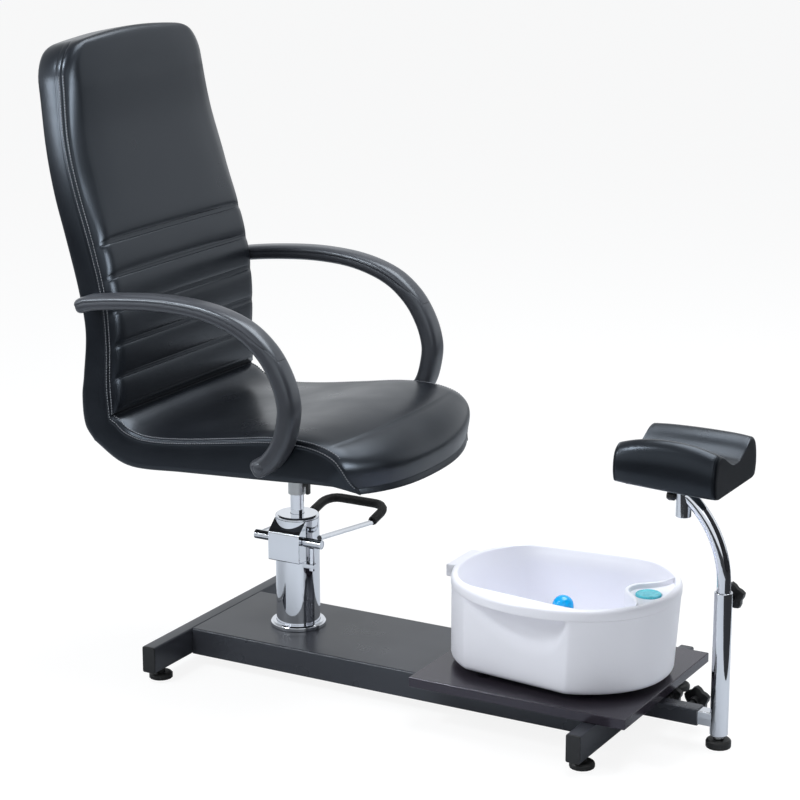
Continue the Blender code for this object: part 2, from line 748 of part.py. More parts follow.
def back_lines():
    rise = BACK_RISE
    front = [
        (-0.109, rise),
        (-0.099, 0.894 * rise),
        (-0.085, 0.745 * rise),
        (-0.059, 0.602 * rise),
        (-0.030, 0.459 * rise),
        (-0.008, 0.323 * rise),
        (-0.002, 0.201 * rise),
        (-0.004, 0.095 * rise),
        (0, 0),
    ]
    rear = [
        (-0.160, 0.985 * rise),
        (-0.147, 0.879 * rise),
        (-0.129, 0.730 * rise),
        (-0.107, 0.595 * rise),
        (-0.084, 0.474 * rise),
        (-0.060, 0.336 * rise),
        (-0.049, 0.230 * rise),
        (-0.056, 0.110 * rise),
        (-0.061, 0.050 * rise),
        (-0.056, -0.019),
        (-0.037, -0.046),
    ]
    return from_crease(front), from_crease(rear)


def underside(x):
    """Height under the seat at x, along its straight part."""
    rear = CREASE_X + 0.057
    return CREASE_Z - UNDERSIDE_REAR + UNDERSIDE_SLOPE * (x - rear)


def seat_lines():
    depth = SEAT_DEPTH
    front = [
        (0, 0),
        (0.057 * depth, -0.024),
        (0.139 * depth, -0.034),
        (0.277 * depth, -0.030),
        (0.488 * depth, -0.015),
        (0.662 * depth, -0.002),
        (0.789 * depth, 0),
        (0.889 * depth, -0.009),
        (0.959 * depth, -0.030),
        (depth, -0.066),
    ]
    straight = [0.111 * depth, 0.290 * depth, 0.680 * depth, 0.910 * depth]
    rear = [(-0.037, -0.046), (0.015, -0.077)]
    rear += [(x, underside(CREASE_X + x) - CREASE_Z) for x in straight]
    rear += [(0.967 * depth, -0.065), (1.010 * depth, -0.076)]
    return from_crease(front), from_crease(rear)


class Station:
    """One place along a cushion: its front and rear points and how the surface swells there."""

    def __init__(self, front, rear, half, crown, backed):
        self.front = front
        self.rear = rear
        self.half = half
        self.crown = crown
        self.backed = backed
        self.out = (front - rear).normalized()
        self.draw = 0.0
        self.bulge = 0.0
        self.rise = 0.0


def back_half_width(z, from_top):
    low = CREASE_Z + 0.60 * BACK_RISE
    high = CREASE_Z + BACK_RISE
    share = smoothstep((z - low) / (high - low))
    half = SEAT_HALF_WIDTH + (BACK_TOP_HALF_WIDTH - SEAT_HALF_WIDTH) * share
    if from_top < BACK_CORNER:
        reach = BACK_CORNER - from_top
        half += math.sqrt(BACK_CORNER**2 - reach**2) - BACK_CORNER
    return half


def back_stations():
    front, rear = back_lines()
    seams = [front.share_at_height(CREASE_Z + CHANNEL_PITCH * k) for k in range(CHANNEL_COUNT, -1, -1)]
    near_top = (0, 0.003, 0.010, 0.022, 0.040, 0.065, 0.085, 0.090)
    shares = [d / front.length for d in near_top]
    first = seams[0]
    shares += [shares[-1] + (first - shares[-1]) * k / 5 for k in range(1, 5)]
    for a, b in zip(seams, seams[1:]):
        shares += [a + (b - a) * part for part in (0, 0.10, 0.30, 0.5, 0.70, 0.90)]
    shares.append(1.0)
    stations = []
    for share in shares:
        from_top = share * front.length
        near = min(abs(share - seam) for seam in seams) * front.length
        dip = math.exp(-((near / CHANNEL_WIDTH) ** 2))
        f, r = front.at(share), rear.at(share)
        lumbar = smoothstep((0.60 * BACK_RISE - (f.y - CREASE_Z)) / (0.20 * BACK_RISE))
        crown = (BACK_CROWN + LUMBAR_CROWN * lumbar) * (1 - CHANNEL_DEPTH * dip)
        made = Station(f, r, back_half_width(f.y, from_top), crown, from_top > 0.0895)
        if from_top < BACK_EDGE:
            reach = BACK_EDGE - from_top
            inset = BACK_EDGE - math.sqrt(BACK_EDGE**2 - reach**2)
            made.front = f - made.out * inset * 0.8
            made.rear = r + made.out * inset * 0.8
        made.rise = TOP_CROWN * max(0.0, 1 - from_top / 0.060)
        made.draw = DRAW_IN * smoothstep((f.y - CREASE_Z - 0.27) / 0.08)
        stations.append(made)
    return stations


def seat_stations():
    front, rear = seat_lines()
    shares = (0, 0.02, 0.06, 0.12, 0.20, 0.29, 0.38, 0.47, 0.56, 0.65, 0.72, 0.78, 0.84)
    shares += (0.865, 0.90, 0.93, 0.955, 0.975, 0.99, 1.0)
    stations = []
    for share in shares:
        from_crease_m = share * front.length
        dip = math.exp(-((from_crease_m / CHANNEL_WIDTH) ** 2))
        lip = smoothstep((1.0 - share) / 0.10)
        crown = SEAT_CROWN * (1 - CHANNEL_DEPTH * dip) * lip
        made = Station(front.at(share), rear.at(share), SEAT_HALF_WIDTH, crown, share < 0.845)
        made.bulge = FRONT_BULGE * smoothstep((share - 0.845) / 0.13)
        made.half -= FRONT_CORNER * max(0.0, (share - 0.90) / 0.10) ** 2
        stations.append(made)
    return stations


RECESS = SHELL_THICKNESS + GAP
COLUMNS = (-1, -0.975, -0.925, -0.905, -0.82, -0.5, 0, 0.5, 0.82, 0.905, 0.925, 0.975, 1)
EDGE_SHARE = 0.90


def cushion(name, stations):
    """A padded slab between its front and rear lines, crowned across and channelled along."""
    bm = bmesh.new()
    fronts, rears, mids = [], [], []
    for st in stations:
        row_front, row_rear = [], []
        for u in COLUMNS:
            over = max(0.0, (abs(u) - EDGE_SHARE) / (1 - EDGE_SHARE))
            swell = st.crown * (0.82 * (1 - over**2) + 0.18 * (1 - u * u))
            front = st.front + st.out * swell
            inset = RECESS if st.backed and abs(u) < 0.91 else 0.0
            rear = st.rear + st.out * inset
            forward = st.bulge * (1 - u * u)
            lift = st.rise * (1 - u * u)
            y = u * st.half
            row_front.append(bm.verts.new((front.x + forward, y, front.y + lift)))
            row_rear.append(bm.verts.new((rear.x + forward, y, rear.y + lift)))
        middle = (st.front + st.rear) / 2
        near = bm.verts.new((middle.x, -st.half + st.draw, middle.y))
        far = bm.verts.new((middle.x, st.half - st.draw, middle.y))
        fronts.append(row_front)
        rears.append(row_rear)
        mids.append((near, far))
    last = len(COLUMNS) - 1
    for i in range(len(stations) - 1):
        for j in range(last):
            bm.faces.new((fronts[i][j], fronts[i][j + 1], fronts[i + 1][j + 1], fronts[i + 1][j]))
            bm.faces.new((rears[i][j], rears[i + 1][j], rears[i + 1][j + 1], rears[i][j + 1]))
        for j, k in ((0, 0), (last, 1)):
            bm.faces.new((fronts[i][j], fronts[i + 1][j], mids[i + 1][k], mids[i][k]))
            bm.faces.new((mids[i][k], mids[i + 1][k], rears[i + 1][j], rears[i][j]))
    for i in (0, len(stations) - 1):
        for j in range(last):
            face = [fronts[i][j], fronts[i][j + 1], rears[i][j + 1], rears[i][j]]
            if j == 0:
                face.append(mids[i][0])
            if j == last - 1:
                face.insert(2, mids[i][1])
            bm.faces.new(face)
    return finish_mesh(name, bm)


def sheet(name, stations, share, inner, outer):
    """A bent sheet behind the cushions: inner and outer are distances in front of the rear line."""
    rings = []
    for st in stations:
        half = st.half * share
        a = st.rear + st.out * inner
        b = st.rear + st.out * outer
        forward = st.bulge * (1 - share * share)
        ax, bx = a.x + forward, b.x + forward
        rings.append([(ax, -half, a.y), (ax, half, a.y), (bx, half, b.y), (bx, -half, b.y)])
    return loft(name, rings)


def add_seat():
    back = back_stations()
    seat = seat_stations()
    shell = [st for st in back if st.backed][1:] + [st for st in seat if st.backed][1:-1]
    mesh = sheet("seat_shell", shell, SHELL_SHARE, SHELL_THICKNESS, 0.0)
    add_part("seat_shell", mesh, "seat", (0, 0, 0), "plywood")
    panel = [st for st in back if st.front.y < CREASE_Z + BACK_RISE - 0.020]
    mesh = sheet("back_panel", panel, PANEL_SHARE, -GAP, -GAP - PANEL_THICKNESS)
    add_part("back_panel", mesh, "seat", (0, 0, 0), "leather")

    rung = back[-1].out
    up = Vector((-rung.y, rung.x)) * (GAP / 2)
    back[-1].front = back[-1].front + up
    back[-1].rear = back[-1].rear + up
    seat[0].front = seat[0].front - up
    seat[0].rear = seat[0].rear - up
    add_part("back_cushion", cushion("back_cushion", back), "seat", (0, 0, 0), "leather")
    add_part("seat_cushion", cushion("seat_cushion", seat), "seat", (0, 0, 0), "leather")

    half = SEAT_PLATE_LENGTH / 2
    low = underside(-half) - GAP - SEAT_PLATE_THICKNESS
    wide = SEAT_PLATE_WIDTH / 2
    side = [(-half, low), (half, low), (half, underside(half) - GAP), (-half, underside(-half) - GAP)]
    plate = extruded("seat_plate", [side], 2 * wide, "XZ")
    round_edges(add_part("seat_plate", plate, "seat", (0, 0, 0), "black_metal"), 0.001, 1)

    top = low - GAP
    bore = ROD_RADIUS + SLIDE
    under = top - SOCKET_FLANGE_THICKNESS
    profile = [
        (bore, top),
        (SOCKET_FLANGE, top),
        (SOCKET_FLANGE, under),
        (SOCKET_RADIUS + 0.006, under),
        (SOCKET_RADIUS, under - 0.006),
        (SOCKET_RADIUS, SOCKET_BOTTOM),
        (bore, SOCKET_BOTTOM),
    ]
    socket = turned("swivel_socket", profile, "seat", (0, 0, 0), "black_metal", 24, ring=True)
    z = SOCKET_BOTTOM + LOCK_HEIGHT
    hole = rod("lock_hole", STUD_RADIUS + SLIDE, 2 * SOCKET_RADIUS, 16)
    place = (1.2 * SOCKET_RADIUS + ROD_RADIUS * 0.5, 0, z)
    boolean(socket, add_cutter("lock_hole", hole, "seat", place, (0, math.radians(90), 0)))

    reach = SOCKET_RADIUS + GAP
    profile = [(0, 0.008), (0.006, 0.008), (0.006, 0), (STUD_RADIUS, 0), (STUD_RADIUS, -0.003), (0, -0.003)]
    boss = turned_cutter("lock_boss", profile, "lock", (reach, 0, z), (0, math.radians(90), 0), 20)
    paddle = box("swivel_lock_lever", 0.006, 0.010, LOCK_LENGTH)
    place = (reach + 0.007, 0, z - LOCK_LENGTH / 2 + 0.007)
    lock = add_part("swivel_lock_lever", paddle, "lock", place, "black_plastic")
    round_edges(lock, 0.0015)
    boolean(lock, boss, "UNION")


# Arms
def arm_line():
    return from_crease(
        [
            (-0.037, 0.208),
            (-0.016, 0.217),
            (0.083, 0.229),
            (0.165, 0.232),
            (0.240, 0.225),
            (0.308, 0.203),
            (0.353, 0.168),
            (0.381, 0.125),
            (0.394, 0.082),
            (0.392, 0.049),
            (0.381, 0.011),
            (0.356, -0.024),
            (0.329, -0.041),
        ]
    )


ARM_STATIONS = 26
ARM_SECTION = 16


def arm_section(half_width, half_thickness):
    points = []
    for i in range(ARM_SECTION):
        angle = 2 * math.pi * (i + 0.5) / ARM_SECTION
        c, s = math.cos(angle), math.sin(angle)
        w = half_width * math.copysign(abs(c) ** 0.62, c)
        v = half_thickness * math.copysign(abs(s) ** 0.62, s)
        points.append((w, v))
    return points


def arm_half_thickness(share):
    thin, thick = ARM_THICKNESS / 2, ARM_LEG_THICKNESS / 2
    return thin + (thick - thin) * smoothstep((share - 0.35) / 0.30)


def pad_joint(share):
    """Height of the joint under the pad, from the arm's middle line, as a share of the half thickness."""
    start = 2 * ARM_PAD_SPLIT
    return start + (0.93 - start) * smoothstep((share - ARM_PAD_SHARE + 0.10) / 0.10)


def add_arm(side, sign):
    line = arm_line()
    rings, pad_rings = [], []
    for i in range(ARM_STATIONS + 1):
        share = i / ARM_STATIONS
        middle = line.at(share)
        along = line.tangent(share)
        out = Vector((-along.y, along.x))
        half = arm_half_thickness(share)
        end = min(share, 1 - share)
        width = ARM_WIDTH / 2 - 0.004 * max(0.0, 1 - end / 0.012)
        half -= 0.004 * max(0.0, 1 - end / 0.012)
        joint = pad_joint(share) * half
        under, over = [], []
        for w, v in arm_section(width, half):
            lower = min(v, joint - GAP / 2) if share < ARM_PAD_SHARE else v
            p = middle + out * lower
            under.append((p.x, w, p.y))
            p = middle + out * max(v, joint + GAP / 2)
            over.append((p.x, w, p.y))
        rings.append(under)
        if share < ARM_PAD_SHARE:
            pad_rings.append(over)
    at = (0, sign * ARM_Y, 0)
    name = f"{side}_arm"
    arm = add_part(name, loft(name, rings), "seat", at, "black_plastic")
    name = f"{side}_arm_pad"
    add_part(name, loft(name, pad_rings), "seat", at, "rubber")

    spot = line.at(0.975)
    face = ARM_WIDTH / 2
    turn = (math.radians(-90 * sign), 0, 0)
    head, shank = BOLT_HEAD_RADIUS, BOLT_RADIUS
    profile = [
        (0, 0.003),
        (head * 0.7, 0.0022),
        (head, 0),
        (head, -BOLT_HEAD_DEPTH),
        (shank, -BOLT_HEAD_DEPTH),
        (shank, -ARM_WIDTH + 0.001),
        (0, -ARM_WIDTH + 0.001),
    ]
    place = (spot.x, sign * (ARM_Y + face), spot.y)
    bolt = turned(f"{side}_arm_bolt", profile, "seat", place, "black_plastic", 20)
    bolt.rotation_euler = turn
    head, shank = head + GAP, shank + GAP
    profile = [
        (0, 0.02),
        (head, 0.02),
        (head, -BOLT_HEAD_DEPTH - GAP),
        (shank, -BOLT_HEAD_DEPTH - GAP),
        (shank, -ARM_WIDTH - 0.01),
        (0, -ARM_WIDTH - 0.01),
    ]
    boolean(arm, turned_cutter(f"{side}_bolt_hole", profile, "seat", place, turn, 20))


# Foot rest
def add_knob(name, body, at, turn, radius, lobes, depth, stud):
    """A knob on local +Z with its stud on -Z; lobes 0 makes a plain round knob."""
    count = 20 if lobes else 16
    wave = STAR_WAVE if lobes else 0.0
    inner = depth - STAR_THICKNESS
    collar = STUD_RADIUS + KNOB_COLLAR
    hub = max(0.36 * radius, collar)
    levels = [
        (radius * 0.80, depth, wave),
        (radius, depth - 0.004, wave),
        (radius * 0.95, inner + 0.002, wave),
        (hub, inner, wave * 0.3),
    ]
    if inner > KNOB_HUB:
        levels += [(hub, inner - KNOB_HUB, 0), (collar, inner - KNOB_HUB, 0)]
    levels += [(collar, 0, 0), (STUD_RADIUS, 0, 0), (STUD_RADIUS, -stud, 0)]
    rings = []
    for size, z, ripple in levels:
        ring = []
        for i in range(count):
            angle = 2 * math.pi * i / count
            r = size * (1 + ripple * math.cos(lobes * (angle + math.pi / 2))) / (1 + ripple)
            ring.append((r * math.cos(angle), r * math.sin(angle), z))
        rings.append(ring)
    knob = add_part(name, loft(name, rings), body, at, "black_plastic")
    knob.rotation_euler = turn


KNOB_FRONT_X = RECEIVER_FRONT - FRONT_KNOB_BACK
KNOB_REAR_X = KNOB_FRONT_X - KNOB_SPACING
FACING_Y = (math.radians(-90), 0, 0)
FACING_BACK = (0, math.radians(-90), 0)


def add_foot_rest():
    outer = rounded_rectangle(SLIDE_SIDE, SLIDE_SIDE, 0.002)
    bore = SLIDE_SIDE - 2 * SLIDE_WALL
    tube = extruded("slide_bar", [outer, rounded_rectangle(bore, bore, 0.001)], SLIDE_LENGTH, "YZ")
    place = (POST_X - 0.002 - SLIDE_LENGTH / 2, REST_Y, RECEIVER_Z)
    bar = add_part("slide_bar", tube, "arm_slide", place, "chrome")
    saddle = rod("slide_saddle", POST_RADIUS + GAP, 3 * SLIDE_SIDE, 32)
    boolean(bar, add_cutter("slide_saddle", saddle, "arm_slide", (POST_X, REST_Y, RECEIVER_Z)))

    axis = (POST_X, REST_Y, 0)
    inner = POST_RADIUS - POST_WALL
    profile = [
        (inner, POST_TOP),
        (POST_RADIUS - 0.001, POST_TOP),
        (POST_RADIUS, POST_TOP - 0.001),
        (POST_RADIUS, POST_BOTTOM),
        (inner, POST_BOTTOM),
    ]
    post = turned("post_tube", profile, "arm_slide", axis, "chrome", 28, ring=True)
    hole = rod("post_knob_hole", STUD_RADIUS + SLIDE, POST_RADIUS, 16)
    place = (POST_X, REST_Y + POST_RADIUS, POST_KNOB_Z)
    boolean(post, add_cutter("post_knob_hole", hole, "arm_slide", place, (math.radians(90), 0, 0)))

    hole = FOOT_STEM_RADIUS + SLIDE
    low = POST_BOTTOM - BUSH_SHOWN
    plug = inner - GAP
    profile = [
        (hole, POST_BOTTOM + BUSH_DEPTH),
        (plug, POST_BOTTOM + BUSH_DEPTH),
        (plug, POST_BOTTOM),
        (BUSH_RADIUS, POST_BOTTOM - GAP),
        (BUSH_RADIUS, low),
        (hole, low),
    ]
    turned("post_bush", profile, "arm_slide", axis, "chrome", 20, ring=True)
    neck = low - GAP
    add_levelling_foot("post_foot", "post_foot_turn", axis, neck - 0.0005, neck, BUSH_DEPTH)

    straight = [(0, 0, MAST_BOTTOM), (0, 0, MAST_STRAIGHT)]
    bend = arc((-MAST_BEND, MAST_STRAIGHT), MAST_BEND, 0, MAST_ANGLE, 14)[1:]
    path = straight + [(x, 0, z) for x, z in bend]
    mast = add_part("mast_tube", bent_tube("mast_tube", path, MAST_RADIUS, 0, 4), "mast", axis, "chrome")
    sleeve_axis = (SLEEVE_X, REST_Y, 0)
    saddle = rod("mast_saddle", SLEEVE_RADIUS + GAP, SLEEVE_TOP, 32)
    place = (SLEEVE_X, REST_Y, SLEEVE_TOP)
    boolean(mast, add_cutter("mast_saddle", saddle, "mast", place))

    bore = SLEEVE_RADIUS - SLEEVE_WALL
    profile = [
        (bore, SLEEVE_TOP),
        (SLEEVE_RADIUS, SLEEVE_TOP),
        (SLEEVE_RADIUS, SLEEVE_BOTTOM + 0.001),
        (SLEEVE_RADIUS - 0.001, SLEEVE_BOTTOM),
        (bore, SLEEVE_BOTTOM),
    ]
    sleeve = turned("pad_sleeve", profile, "mast", sleeve_axis, "chrome", 24, ring=True)
    hole = rod("sleeve_knob_hole", STUD_RADIUS + SLIDE, SLEEVE_RADIUS, 16)
    place = (SLEEVE_X - SLEEVE_RADIUS, REST_Y, SLEEVE_KNOB_Z)
    boolean(sleeve, add_cutter("sleeve_knob_hole", hole, "mast", place, (0, math.radians(90), 0)))

    top = SLEEVE_TOP + GAP + SPINDLE_PLATE
    low = SLEEVE_TOP + GAP
    pin = bore - SLIDE
    profile = [
        (0, top),
        (SPINDLE_PLATE_RADIUS, top),
        (SPINDLE_PLATE_RADIUS, low),
        (pin, low),
        (pin, low - SPINDLE_DEPTH),
        (0, low - SPINDLE_DEPTH),
    ]
    turned("pad_spindle", profile, "pad", sleeve_axis, "black_metal", 32)

    knob_y = REST_Y + RECEIVER_SIDE / 2 + GAP
    stud = RECEIVER_SIDE / 2 - SLIDE_SIDE / 2
    for name, body, x, radius in (
        ("receiver_knob_front", "front_knob", KNOB_FRONT_X, STAR_RADIUS),
        ("receiver_knob_rear", "rear_knob", KNOB_REAR_X, STAR_SMALL_RADIUS),
    ):
        add_knob(name, body, (x, knob_y, RECEIVER_Z), FACING_Y, radius, 5, RECEIVER_KNOB_DEPTH, stud)
    place = (POST_X, REST_Y + POST_RADIUS + GAP, POST_KNOB_Z)
    stud = POST_RADIUS - MAST_RADIUS
    add_knob("post_knob", "post_knob_turn", place, FACING_Y, STAR_RADIUS, 5, POST_KNOB_DEPTH, stud)
    place = (SLEEVE_X - SLEEVE_RADIUS - GAP, REST_Y, SLEEVE_KNOB_Z)
    stud = SLEEVE_WALL + SLIDE
    radius, depth = SLEEVE_KNOB_RADIUS, SLEEVE_KNOB_DEPTH
    add_knob("sleeve_knob", "sleeve_knob_turn", place, FACING_BACK, radius, 0, depth, stud)


def pad_section(inset, lower):
    """Half of the pad's section from its bottom middle to the middle of its trough, then mirrored."""
    half = PAD_WIDTH / 2 - inset
    top = PAD_HEIGHT - lower
    trough = top - PAD_TROUGH
    run = [
        (half - 0.012, 0),
        (half - 0.003, 0.003),
        (half, 0.012),
        (half - DRAW_IN, 0.45 * top),
        (half, 0.75 * top),
        (half - 0.004, top - 0.009),
        (half - 0.014, top - 0.0015),
        (half - 0.024, top),
        (half - 0.038, top - 0.20 * PAD_TROUGH),
        (half - 0.058, top - 0.68 * PAD_TROUGH),
        (half - 0.076, trough + 0.0006),
    ]
    mirror = [(-y, z) for y, z in reversed(run)]
    return run + [(0, trough)] + mirror + [(0, 0)]


def add_pad():
    half = PAD_LENGTH / 2
    levels = (
        (0, PAD_EDGE, 0.004),
        (0.002, 0.4 * PAD_EDGE, 0.0015),
        (PAD_EDGE, 0, 0.0),
        (0.030, -0.0015, -0.0015),
        (0.060, -0.002, -0.002),
    )
    places = [(-half + d, i, low) for d, i, low in levels]
    places += [(half - d, i, low) for d, i, low in reversed(levels)]
    rings = [[(x, y, z) for y, z in pad_section(inset, low)] for x, inset, low in places]
    at = (SLEEVE_X, REST_Y, PAD_BOTTOM)
    pad = add_part("foot_pad", loft("foot_pad", rings), "pad", at, "leather")
    length = PAD_LENGTH - 2 * PAD_BOARD_INSET
    width = PAD_WIDTH - 2 * PAD_BOARD_INSET
    recess = box("pad_recess", length + 2 * GAP, width + 2 * GAP, 2 * (PAD_BOARD_THICKNESS + GAP))
    boolean(pad, add_cutter("pad_recess", recess, "pad", at))
    board = box("pad_board", length, width, PAD_BOARD_THICKNESS)
    place = (SLEEVE_X, REST_Y, PAD_BOTTOM + PAD_BOARD_THICKNESS / 2)
    add_part("pad_board", board, "pad", place, "plywood")


# Foot bath
BATH_ARC = 14
BATH_SIDE = 8
CORNER_SHARE = 0.52  # of the half length, where the flat sides end


def bath_ring(z, shift, half_length, half_width, flat=None, scoop=0.0):
    """An oval ring about the bath's middle, its long sides cut flat when a flat is given."""
    rows = []
    power = BATH_POWER
    corner = CORNER_SHARE * half_length

    def side_at(x):
        return half_width * max(0.0, 1 - abs(x / half_length) ** power) ** (1 / power)

    edge = math.atan2(side_at(corner) / half_width, corner / half_length)
    for i in range(BATH_ARC + 1):
        angle = -edge + 2 * edge * i / BATH_ARC
        c, s = math.cos(angle), math.sin(angle)
        reach = (abs(c) ** power + abs(s) ** power) ** (-1 / power)
        x, y = half_length * reach * c, half_width * reach * s
        rows.append((x, y if flat is None else max(-flat, min(flat, y))))
    front = list(rows)
    for i in range(1, BATH_SIDE):
        x = corner - 2 * corner * i / BATH_SIDE
        y = side_at(x)
        if flat is not None:
            y = min(flat, y) - scoop * max(0.0, 1 - (x / corner) ** 2)
        rows.append((x, y))
    rows += [(-x, y) for x, y in reversed(front)]
    for i in range(1, BATH_SIDE):
        x = -corner + 2 * corner * i / BATH_SIDE
        y = side_at(x)
        if flat is not None:
            y = min(flat, y) - scoop * max(0.0, 1 - (x / corner) ** 2)
        rows.append((x, -y))
    return [(x + shift, y, z) for x, y in rows]


def housing_ring(z, inset):
    share = (z - BATH_BOTTOM) / (BATH_RIM_BOTTOM - BATH_BOTTOM)
    shift = -BATH_BOTTOM_SHIFT * (1 - share)
    length = BATH_HALF_LENGTH - 0.003 - BATH_TAPER * (1 - share) - inset
    width = BATH_HALF_WIDTH - 0.003 - 0.012 * (1 - share) - inset
    scoop = BATH_SCOOP * smoothstep((share - 0.55) / 0.35)
    return bath_ring(z, shift, length, width, BATH_FLAT - inset, scoop)


def basin_ring(z, inset, flat_inset=0.0):
    """A ring of the basin's inner face; inset 0 is its upper edge."""
    share = (BATH_RIM_BOTTOM - z) / (BATH_RIM_BOTTOM - BATH_BOTTOM)
    shift = -BATH_BOTTOM_SHIFT * max(0.0, share)
    length = BATH_HALF_LENGTH - BASIN_EDGE - inset
    width = BATH_HALF_WIDTH - BASIN_EDGE - inset
    return bath_ring(z, shift, length, width, BASIN_FLAT - flat_inset - inset)


def rim_ring(z, inset):
    return bath_ring(z, 0, BATH_HALF_LENGTH - inset, BATH_HALF_WIDTH - inset)


def add_bath():
    at = (BATH_X, 0, 0)
    bottom, top = BATH_BOTTOM, BATH_RIM_BOTTOM - GAP
    wall = BATH_WALL
    rings = [housing_ring(bottom, 0.012), housing_ring(bottom + 0.003, 0.004)]
    rings.append(housing_ring(bottom + 0.010, 0))
    span = top - bottom
    rings += [housing_ring(bottom + span * part, 0) for part in (0.45, 0.62, 0.76, 0.90, 1)]
    rings += [housing_ring(bottom + span * part, wall) for part in (1, 0.90, 0.76, 0.62, 0.45)]
    rings += [housing_ring(bottom + 0.010, wall), housing_ring(bottom + wall, 0.014)]
    add_part("bath_housing", loft("bath_housing", rings), "bath", at, "white_plastic")

    floor = bottom + BASIN_FLOOR
    rim, low = BATH_RIM_TOP, BATH_RIM_BOTTOM
    tuck = BASIN_FLAT - BATH_FLAT + BATH_SCOOP + 2 * wall + 0.001
    rings = [
        basin_ring(floor - wall, 0.050),
        basin_ring(floor - wall + 0.006, 0.030 - wall, 0),
        basin_ring(floor + 0.025, 0.020 - wall, 0),
        basin_ring(low, 0.008 - wall, tuck - 0.008 + wall),
        rim_ring(low, 0.002),
        rim_ring(low + 0.002, 0),
        rim_ring(low + 0.010, 0),
        rim_ring(low + 0.0105, 0.0015),
        rim_ring(rim - 0.003, 0.0020),
        rim_ring(rim, 0.005),
        basin_ring(rim, -0.003),
        basin_ring(rim - 0.003, 0),
        basin_ring(low + 0.002, 0.006, tuck - 0.004),
        basin_ring(floor + 0.025, 0.020 + 0.001, 0),
        basin_ring(floor + 0.008, 0.030, 0),
        basin_ring(floor, 0.044, 0),
    ]
    basin = add_part("bath_basin", loft("bath_basin", rings), "bath", at, "white_plastic")

    profile = [
        (0, NODE_SEAT),
        (PEDESTAL_RADIUS - 0.006, NODE_SEAT),
        (PEDESTAL_RADIUS - 0.003, NODE_SEAT - 0.003),
        (PEDESTAL_RADIUS, floor - 0.001),
        (0, floor - 0.001),
    ]
    boolean(basin, turned_cutter("pedestal", profile, "bath", (NODE_X, 0, 0), steps=24), "UNION")

    height = BATH_RIM_HEIGHT - 0.003
    depth = 0.006 + SPOUT_OUT
    lip = box("bath_spout", depth, SPOUT_WIDTH, height)
    place = (BATH_X - BATH_HALF_LENGTH - SPOUT_OUT + depth / 2, 0, low + 0.0015 + height / 2)
    boolean(basin, add_cutter("bath_spout", lip, "bath", place), "UNION")

    end_x = DIAL_X + 0.018
    edge = DIAL_RADIUS + 0.010
    bulge = arc((DIAL_X, 0), edge, 125, 235, 8)
    outside = [(BATH_X + x, y) for x, y, z in rim_ring(0, 0.0095) if x > 0.12]
    turn = [(x, y) for x, y in outside if x > end_x]
    wide = 0.98 * turn[-1][1]
    inner_edge = [(end_x - 0.001, wide), (end_x - 0.012, 0.6 * wide)] + bulge
    inner_edge += [(end_x - 0.012, -0.6 * wide), (end_x - 0.001, -wide)]
    block = extruded("bath_deck", [turn + inner_edge], 0.022, "XY")
    deck = add_cutter("bath_deck", block, "bath", (0, 0, DECK_Z - 0.011))
    boolean(basin, deck, "UNION")
    reach = [(BATH_X + 1.2 * (x - BATH_X), 1.2 * y) for x, y in turn]
    reach += [(end_x - 0.006, 0.080), (end_x - 0.030, 0), (end_x - 0.006, -0.080)]
    clear = extruded("deck_clearance", [reach], 0.02, "XY")
    boolean(basin, add_cutter("deck_clearance", clear, "bath", (0, 0, DECK_Z + 0.01 + GAP)))
    well = rod("dial_well", DIAL_RADIUS + SLIDE + 0.001, 2 * DIAL_WELL, 32)
    boolean(basin, add_cutter("dial_well", well, "bath", (DIAL_X, 0, DECK_Z)))

    z = DECK_Z - DIAL_WELL + GAP
    r = DIAL_RADIUS
    profile = [(0, DIAL_HEIGHT), (r - 0.004, DIAL_HEIGHT), (r, DIAL_HEIGHT - 0.003), (r, 0), (0, 0)]
    turned("bath_dial", profile, "dial", (DIAL_X, 0, z), "teal_plastic", 32)
    r = NODE_RADIUS
    dome = [(r * math.sin(math.radians(a)), r * math.cos(math.radians(a))) for a in range(0, 91, 18)]
    profile = dome + [(r, -0.008), (0, -0.008)]
    turned("massage_node", profile, "bath", (NODE_X, 0, NODE_SEAT + GAP + 0.008), "blue_plastic", 24)

    r = BATH_FOOT_RADIUS
    low = BOARD_TOP + GAP
    profile = [(0, BATH_FOOT_HEIGHT - GAP), (r - 0.001, BATH_FOOT_HEIGHT - GAP), (r, 0), (0, 0)]
    for end, dx in (("rear", -0.105), ("front", 0.095)):
        for side, dy in (("right", -0.095), ("left", 0.095)):
            place = (BATH_X - BATH_BOTTOM_SHIFT + dx, dy, low)
            turned(f"bath_{end}_{side}_foot", profile, "bath", place, "rubber", 20)
    half = MOTOR_LENGTH / 2
    profile = [(0, half), (MOTOR_RADIUS, half), (MOTOR_RADIUS, -half), (0, -half)]
    place = (BATH_X + 0.03, 0, bottom + wall + GAP + MOTOR_RADIUS)
    motor = turned("bath_motor", profile, "bath", place, "black_plastic", 20)
    motor.rotation_euler = (math.radians(90), 0, 0)


